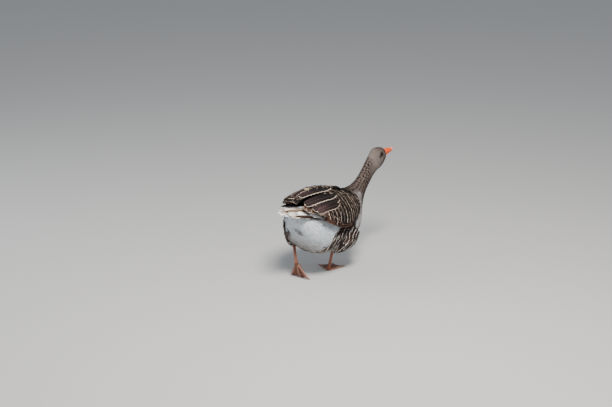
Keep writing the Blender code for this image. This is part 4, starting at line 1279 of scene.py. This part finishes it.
def make_bill(node, upper):
    thing = remeshed(node + "_horn", [node], 0.00052, 2)
    points, normals = verts_of(thing), normals_of(thing)
    t, h, x = bill_coordinates(points)

    def round_nostril(long, high, inner, outer):
        """1 within an ellipse of these half-sizes round the nostril, on the upper half's sides."""
        away = np.sqrt(((t - NOSTRIL[0]) * BILL_LENGTH / long) ** 2 + ((h - NOSTRIL[1]) / high) ** 2)
        return fade(away, inner, outer) * (np.abs(x) > 0.003) * upper

    slit = round_nostril(*NOSTRIL_SLIT, 0.55, 1.15)
    rim = round_nostril(*NOSTRIL_RIM, 0.6, 1.1)
    middle_part = fade(np.abs(x), *NAIL_EDGE)
    nail = smooth(t, NAIL_START, NAIL_START + 0.03) * middle_part
    groove = np.exp(-((t - NAIL_START) * BILL_LENGTH / 0.0007) ** 2) * middle_part
    side = smooth(np.abs(normals[:, 0]), 0.25, 0.55)
    from_parting = np.abs(h - BILL_PARTING)
    band = fade(from_parting, 0.0022, 0.0040) * side * smooth(t, 0.06, 0.14) * fade(t, 0.80, 0.9)
    ridge = band * (0.5 + 0.5 * np.cos(t * BILL_LENGTH / RIDGE_STEP * 2.0 * math.pi))
    push = -0.0017 * slit + 0.0003 * rim - 0.0004 * groove + 0.0002 * nail - 0.00030 * ridge
    push = push - 0.0003 * fade(t, 0.02, 0.07) * (np.cos(x * 900.0) * 0.5 + 0.5)
    move_verts(thing, points + normals * push[:, None])
    # painted shade along the line between the bill's halves
    parting_shade = fade(from_parting, 0.0003, 0.0011) * side * smooth(t, 0.03, 0.10)
    tint = ORANGE
    for colour, share in (
        (BILL_RED, fade(h, -0.008, 0.004) * 0.8),
        (BILL_PINK, smooth(t, 0.62, 0.92) * 0.9),
        (BILL_PINK, fade(t, 0.0, 0.10) * 0.35),
        (NAIL_HORN, nail * 0.8),
        # painted shade in the nostril's opening
        (BILL_HOLLOW_SHADE, slit),
        # painted shade in the grooves between the cutting edge's ridges
        (ORANGE * 0.5, ridge * 0.35),
        (BILL_HOLLOW_SHADE, parting_shade * 0.8),
    ):
        tint = mix(tint, colour, share)
    add_values(thing.data, "tint", tint)
    finish_solid(thing, bill_horn, "bill_horn", node)


bill_horn = horn_material("bill_horn_grown", 0.34, 240.0, 0.35)
make_bill("bill_upper", 1.0)
make_bill("bill_lower", 0.0)


# eyes: a ball with a slight cornea, iris and pupil by the angle from the line of sight
EYE_SLICES = 48
EYE_RINGS = 32
LID_SECTIONS = 10
LID_THICK = 0.00105
LID = (0.060, 0.028, 0.017)
CORNEA_RISE = 0.035


def eye_material():
    material, tree, shader = nodes_of("eye_wet", {
        "Roughness": 0.12, "Specular IOR Level": 0.08, "Coat Weight": 0.18, "Coat Roughness": 0.02,
    })
    polar = attribute(tree, "polar")
    fibre = line_noise(tree, 3.0, times(tree, attribute(tree, "ray"), 30.0))
    iris = mix_colour(tree, fibre, (0.030, 0.010, 0.004), (0.11, 0.042, 0.015))
    colour = mix_colour(tree, ramp_range(tree, polar, 0.47, 0.51), (0.003, 0.002, 0.002), iris)
    colour = mix_colour(tree, ramp_range(tree, polar, 0.86, 0.93), colour, (0.035, 0.018, 0.014))
    fill_inputs(tree, shader, {"Base Color": colour})
    return material


def eye_frame(node, side):
    low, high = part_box(node)
    centre = (np.array(low) + np.array(high)) / 2
    radius = float((high[2] - low[2]) / 2)
    place = level(centre[None])
    gaze = posed_direction(place, np.array([[side, -0.22, 0.10]]))[0]
    up = posed_direction(place, np.array([[0.0, 0.0, 1.0]]))[0]
    up = unit((up - gaze * (up @ gaze))[None])[0]
    return centre, radius, gaze, up, np.cross(up, gaze)


def grid_faces(rows, columns, start=0):
    faces = []
    for i in range(rows - 1):
        for j in range(columns):
            k = (j + 1) % columns
            faces.append((start + i * columns + j, start + i * columns + k,
                          start + (i + 1) * columns + k, start + (i + 1) * columns + j))
    return faces


def make_eye(node, side, material):
    centre, radius, gaze, up, right = eye_frame(node, side)
    points, polar, ray = [], [], []
    for i in range(1, EYE_RINGS):
        angle = math.pi * i / EYE_RINGS
        bulge = radius * (1.0 + CORNEA_RISE * float(fade(angle, 0.55, 0.95)))
        for j in range(EYE_SLICES):
            turn = 2.0 * math.pi * j / EYE_SLICES
            out = right * math.cos(turn) + up * math.sin(turn)
            points.append(centre + (gaze * math.cos(angle) + out * math.sin(angle)) * bulge)
            polar.append(angle)
            ray.append(abs(math.sin(turn * 0.5)))
    faces = grid_faces(EYE_RINGS - 1, EYE_SLICES)
    front = len(points)
    points += [centre + gaze * radius * (1.0 + CORNEA_RISE), centre - gaze * radius]
    last = front - EYE_SLICES
    for j in range(EYE_SLICES):
        k = (j + 1) % EYE_SLICES
        faces += [(front, k, j), (front + 1, last + j, last + k)]
    thing = object_from(node + "_ball", points, faces)
    add_values(thing.data, "polar", np.array(polar + [0.0, math.pi]))
    add_values(thing.data, "ray", np.array(ray + [0.5, 0.5]))
    finish_solid(thing, material, "eye", node)


def lid_ring(node, side):
    """A raised almond rim round the eye, part of the skin."""
    centre, radius, _, up, right = eye_frame(node, side)
    out = posed_direction(level(centre[None]), np.array([[side, 0.0, 0.0]]))[0]
    points = []
    for j in range(EYE_SLICES):
        turn = 2.0 * math.pi * j / EYE_SLICES
        across = right * math.cos(turn) + up * math.sin(turn)
        polar = 0.86 + 0.10 * math.cos(turn) ** 2 - 0.05 * abs(math.sin(turn)) ** 3
        way = out * math.cos(polar) + across * math.sin(polar)
        hub = centre + way * radius * 1.015
        flat = across * math.cos(polar) - out * math.sin(polar)
        for k in range(LID_SECTIONS):
            angle = 2.0 * math.pi * k / LID_SECTIONS
            points.append(hub + (way * math.cos(angle) + flat * math.sin(angle) * 1.5) * LID_THICK)
    faces = []
    for j in range(EYE_SLICES):
        for k in range(LID_SECTIONS):
            m, n = (j + 1) % EYE_SLICES, (k + 1) % LID_SECTIONS
            here, there = j * LID_SECTIONS, m * LID_SECTIONS
            faces.append((here + k, there + k, there + n, here + n))
    return points, faces


def add_lids():
    mesh = bmesh.new()
    mesh.from_mesh(skin.data)
    colour = mesh.verts.layers.float_color["tint"]
    for side_name, side in SIDES:
        points, faces = lid_ring("eye_" + side_name, side)
        made = [mesh.verts.new(point) for point in points]
        for vert in made:
            vert[colour] = (*LID, 1.0)
        for face in faces:
            mesh.faces.new([made[i] for i in face]).smooth = True
    mesh.to_mesh(skin.data)
    mesh.free()
    skin.data.update()


eye_wet = eye_material()
for side_name, side in SIDES:
    make_eye("eye_" + side_name, side, eye_wet)
add_lids()

# legs: bare skin with plates down the front, and feet with plates along the toes
LEG = rgb(0.30, 0.100, 0.056)
LEG_PALE = rgb(0.56, 0.30, 0.22)
LEG_DARK = rgb(0.070, 0.022, 0.014)
PLATE_STEP = 0.0046
TOE_PLATE_STEP = 0.0034
HIND_PLATE_STEP = 0.0026
CLAW_LENGTH = 0.0085
CLAW_RADIUS = 0.0019
CLAW_DROP = 0.0006                   # a claw's root under its toe's middle line
CLAW_CLEAR = 0.0004                  # its least height over the floor
CLAW_RINGS = 9
CLAW_SIDES = 12
CLAW_DARK = rgb(0.045, 0.032, 0.026)
RIGHT_HEADING = 27.0                 # degrees the standing foot is turned in
TOE_LINES = ((38.0, 0.088), (1.0, 0.101), (-36.0, 0.092))   # splay towards the bird's middle, length
TOE_ROOT_SPACING = 0.0066
TOE_HEIGHT = 0.0030
LIFTED_SPREAD = 0.85
LIFT_PITCH = math.radians(72.0)      # the trailing foot's heel is raised
LIFT_HINGE = 0.080
LIFT_BEND = 0.016


def plate_edges(run, step, low, high):
    """1 at the cuts between plates of this step along a run, 0 over the plates."""
    return smooth(np.abs(((run / step) % 1.0) - 0.5) * 2.0, low, high)


def finish_leg(thing, points, colours, node):
    """New places and the leg's colour, darkened or paled by shares of other colours."""
    move_verts(thing, points)
    tint = LEG
    for colour, share in colours:
        tint = mix(tint, colour, share)
    add_values(thing.data, "tint", tint)
    finish_solid(thing, leg_scales, "leg_skin", node)


def make_shank(side_name):
    node = "shank_" + side_name
    thing = remeshed(node + "_skin", [node], 0.00085, 2)
    points, normals = verts_of(thing), normals_of(thing)
    order = np.argsort(points[:, 2])
    tenth = max(len(order) // 12, 10)
    foot, knee = points[order[:tenth]].mean(0), points[order[-tenth:]].mean(0)
    size = np.linalg.norm(knee - foot)
    along = (points - foot) @ ((knee - foot) / size)
    cut = plate_edges(along, PLATE_STEP, 0.72, 0.98)
    front = smooth(-normals[:, 1], 0.10, 0.50)
    back_cut = plate_edges(along, PLATE_STEP * 0.6, 0.6, 0.95) * smooth(normals[:, 1], 0.15, 0.55)
    ends = np.exp(-((along - size) / 0.010) ** 2) + np.exp(-(along / 0.009) ** 2)
    push = -0.00038 * cut * front - 0.00022 * back_cut + ends * 0.0006 * (np.cos(along * 1500.0) * 0.4 + 0.6)
    finish_leg(thing, points + normals * push[:, None], (
        (LEG_PALE, front * 0.35 * (1.0 - cut)), (LEG_DARK, np.maximum(cut * front, back_cut * 0.6) * 0.7),
        (LEG_DARK, np.clip(ends, 0, 1) * 0.35),
    ), node)


def heel_raised(back, height):
    """Where the lifted foot's flat places go: forward distance from the ankle and height."""
    back = LIFT_HINGE - np.asarray(back, float)
    angle = np.clip(back / LIFT_BEND, 0.0, LIFT_PITCH)
    beyond = np.maximum(back - angle * LIFT_BEND, 0.0)
    radius = LIFT_BEND - height
    ahead = LIFT_HINGE - radius * np.sin(angle) - beyond * np.cos(angle) - np.minimum(back, 0.0)
    up = LIFT_BEND - radius * np.cos(angle) + beyond * np.sin(angle)
    return ahead, up


def toe_lines(side_name, side, foot_points):
    """Middle lines of the three toes in the frame, as the foot stands."""
    lifted = side_name == "left"
    spread = LIFTED_SPREAD if lifted else 1.0
    heading = math.radians(0.0 if lifted else RIGHT_HEADING)
    cos, sin = math.cos(heading), math.sin(heading)
    raised = float(heel_raised(0.0, 0.0)[0]) if lifted else 0.0
    steps = np.linspace(0.0, 1.0, 40)
    lines = []
    for index, (splay, length) in enumerate(TOE_LINES):
        angle = math.radians(splay * spread)
        x = side * (index - 1) * TOE_ROOT_SPACING - side * math.sin(angle) * length * steps
        ahead = math.cos(angle) * length * steps
        height = np.full(len(steps), TOE_HEIGHT)
        if lifted:
            ahead, height = heel_raised(ahead, TOE_HEIGHT)
        ahead = ahead - raised
        lines.append(np.stack([x * cos + ahead * sin, x * sin - ahead * cos, height], 1))
    every = np.concatenate(lines)[:, :2]
    feet = foot_points[:, :2]
    shift = (feet.min(0) - every.min(0) + feet.max(0) - every.max(0)) / 2
    for line in lines:
        line[:, :2] += shift
    return lines


def make_foot(side_name, side):
    """The foot's skin; returns the tip and direction of each toe."""
    node = "foot_" + side_name
    thing = remeshed(node + "_skin", [node], 0.00075, 1)
    points, normals = verts_of(thing), normals_of(thing)
    lines = toe_lines(side_name, side, points)
    near = np.full(len(points), 1.0)
    run = np.zeros(len(points))
    for line in lines:
        length = np.concatenate([[0.0], np.cumsum(np.linalg.norm(np.diff(line, axis=0), axis=1))])
        for k in range(len(line) - 1):
            part = line[k + 1] - line[k]
            share = np.clip((points - line[k]) @ part / (part @ part), 0.0, 1.0)
            gap = np.linalg.norm(points - line[k] - share[:, None] * part, axis=1)
            better = gap < near
            near = np.where(better, gap, near)
            run = np.where(better, length[k] + share * (length[k + 1] - length[k]), run)
    on_toe = fade(near, 0.0046, 0.0066)
    cut = plate_edges(run, TOE_PLATE_STEP, 0.60, 0.98) * on_toe
    net = 0.5 + 0.5 * np.cos(run * 1300.0) * np.cos(near * 1500.0)
    off_floor = smooth(points[:, 2], 0.0009, 0.0024)
    push = (0.0005 * on_toe - 0.00055 * cut - 0.00020 * net * (1.0 - on_toe)) * off_floor
    finish_leg(thing, points + normals * push[:, None], (
        (LEG_PALE, on_toe * 0.75 * (1.0 - cut)), (LEG_DARK, cut * 0.8),
        (LEG_DARK, (1.0 - on_toe) * (0.35 + 0.40 * net)),
    ), node)
    return [(line[-1], unit((line[-1] - line[-5])[None])[0]) for line in lines]


def claw_points(tip, way):
    """Rings of a small curved claw that leaves a toe's tip along way and bends down."""
    rings = []
    across = unit(np.cross(way, (0.0, 0.0, 1.0))[None])[0]
    rise = np.cross(across, way)
    for t in np.arange(CLAW_RINGS) / (CLAW_RINGS - 1):
        radius = CLAW_RADIUS * (1.0 - t) ** 0.75 + 0.00018
        hub = tip + way * (CLAW_LENGTH * (t - 0.42)) + rise * (0.0012 * (1.0 - (1.6 * t) ** 2))
        for k in range(CLAW_SIDES):
            angle = 2.0 * math.pi * k / CLAW_SIDES
            rings.append(hub + across * radius * 0.8 * math.cos(angle) + rise * radius * math.sin(angle))
    return rings


def make_claws():
    ends = []
    for side_name, side in SIDES:
        for tip, way in make_foot(side_name, side):
            ends.append((tip + np.array([0.0, 0.0, -CLAW_DROP]), way))
        hind = node_arrays(["hind_toe_" + side_name])[0]
        shank = node_arrays(["shank_" + side_name])[0].mean(0)
        away = np.linalg.norm(hind - shank, axis=1)
        far = hind[np.argsort(away)[-6:]].mean(0)
        way = far - hind.mean(0)
        ends.append((far, way / np.linalg.norm(way)))
    points, faces = [], []
    for tip, way in ends:
        start = len(points)
        points += claw_points(tip, way)
        faces += grid_faces(CLAW_RINGS, CLAW_SIDES, start)
        faces.append(tuple(range(start + CLAW_SIDES - 1, start - 1, -1)))
        faces.append(tuple(range(len(points) - CLAW_SIDES, len(points))))
    claws = object_from("claws", points, faces)
    verts = verts_of(claws)
    verts[:, 2] = np.maximum(verts[:, 2], CLAW_CLEAR)
    move_verts(claws, verts)
    add_values(claws.data, "tint", np.tile(CLAW_DARK, (len(verts), 1)))
    finish_solid(claws, claw_horn, "leg_skin")


def make_hind_toe(side_name):
    node = "hind_toe_" + side_name
    thing = remeshed(node + "_skin", [node], 0.0006, 1)
    points, normals = verts_of(thing), normals_of(thing)
    low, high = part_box(node)
    reach = np.linalg.norm(points - (np.array(low) + np.array(high)) / 2, axis=1)
    cut = plate_edges(reach, HIND_PLATE_STEP, 0.65, 0.98)
    finish_leg(thing, points - normals * (0.00025 * cut)[:, None], ((LEG_DARK, cut * 0.6),), node)


leg_scales = scale_material()
claw_horn = horn_material("claw_horn", 0.40, 300.0, 0.25)
make_claws()
for side_name, _ in SIDES:
    make_shank(side_name)
    make_hind_toe(side_name)


# ---------------------------------------------------------------- camera, light and floor
CAMERA_AZIMUTH = 218.0
CAMERA_ELEVATION = 20.0
CAMERA_DISTANCE = 6.5
CAMERA_TURN = 0.567          # degrees that the view is turned to the left of the bird
CAMERA_PITCH = 17.24         # degrees that the view looks down
CAMERA_LENS = 82.35


def make_camera():
    azimuth = math.radians(CAMERA_AZIMUTH)
    elevation = math.radians(CAMERA_ELEVATION)
    back = Vector((math.sin(azimuth) * math.cos(elevation), -math.cos(azimuth) * math.cos(elevation),
                   math.sin(elevation)))
    data = bpy.data.cameras.new("camera")
    data.lens = CAMERA_LENS
    data.sensor_width = 36.0
    data.clip_end = 100.0
    camera = bpy.data.objects.new("camera", data)
    camera.location = Vector(HOME) + back * CAMERA_DISTANCE
    tilt = math.radians(90.0 - CAMERA_PITCH)
    camera.rotation_euler = (tilt, 0.0, math.radians(CAMERA_AZIMUTH + CAMERA_TURN))
    bpy.context.scene.collection.objects.link(camera)
    bpy.context.scene.camera = camera


def area_light(name, place, aim, size, power, colour):
    data = bpy.data.lights.new(name, "AREA")
    data.shape = "DISK"
    data.size = size
    data.energy = power
    data.color = colour
    thing = bpy.data.objects.new(name, data)
    thing.location = place
    thing.rotation_euler = (Vector(aim) - Vector(place)).to_track_quat("-Z", "Y").to_euler()
    bpy.context.scene.collection.objects.link(thing)


def make_stage():
    bpy.ops.mesh.primitive_plane_add(size=40.0, location=(0.0, 0.0, 0.0))
    floor = bpy.context.active_object
    floor.name = "floor"
    paint = nodes_of("floor_paint", {"Base Color": (0.62, 0.61, 0.59, 1.0), "Roughness": 0.9})[0]
    floor.data.materials.append(paint)
    world = bpy.data.worlds.new("studio")
    world.use_nodes = True
    background = world.node_tree.nodes["Background"]
    fill_inputs(world.node_tree, background, {"Color": (0.80, 0.86, 0.95, 1.0), "Strength": 0.42})
    bpy.context.scene.world = world
    area_light("key", (-1.6, 1.4, 3.4), (0.0, 0.0, 0.25), 1.3, 215.0, (1.0, 0.97, 0.92))
    area_light("fill", (2.6, 1.8, 1.8), (0.0, 0.0, 0.25), 2.4, 28.0, (0.86, 0.92, 1.0))


make_camera()
make_stage()
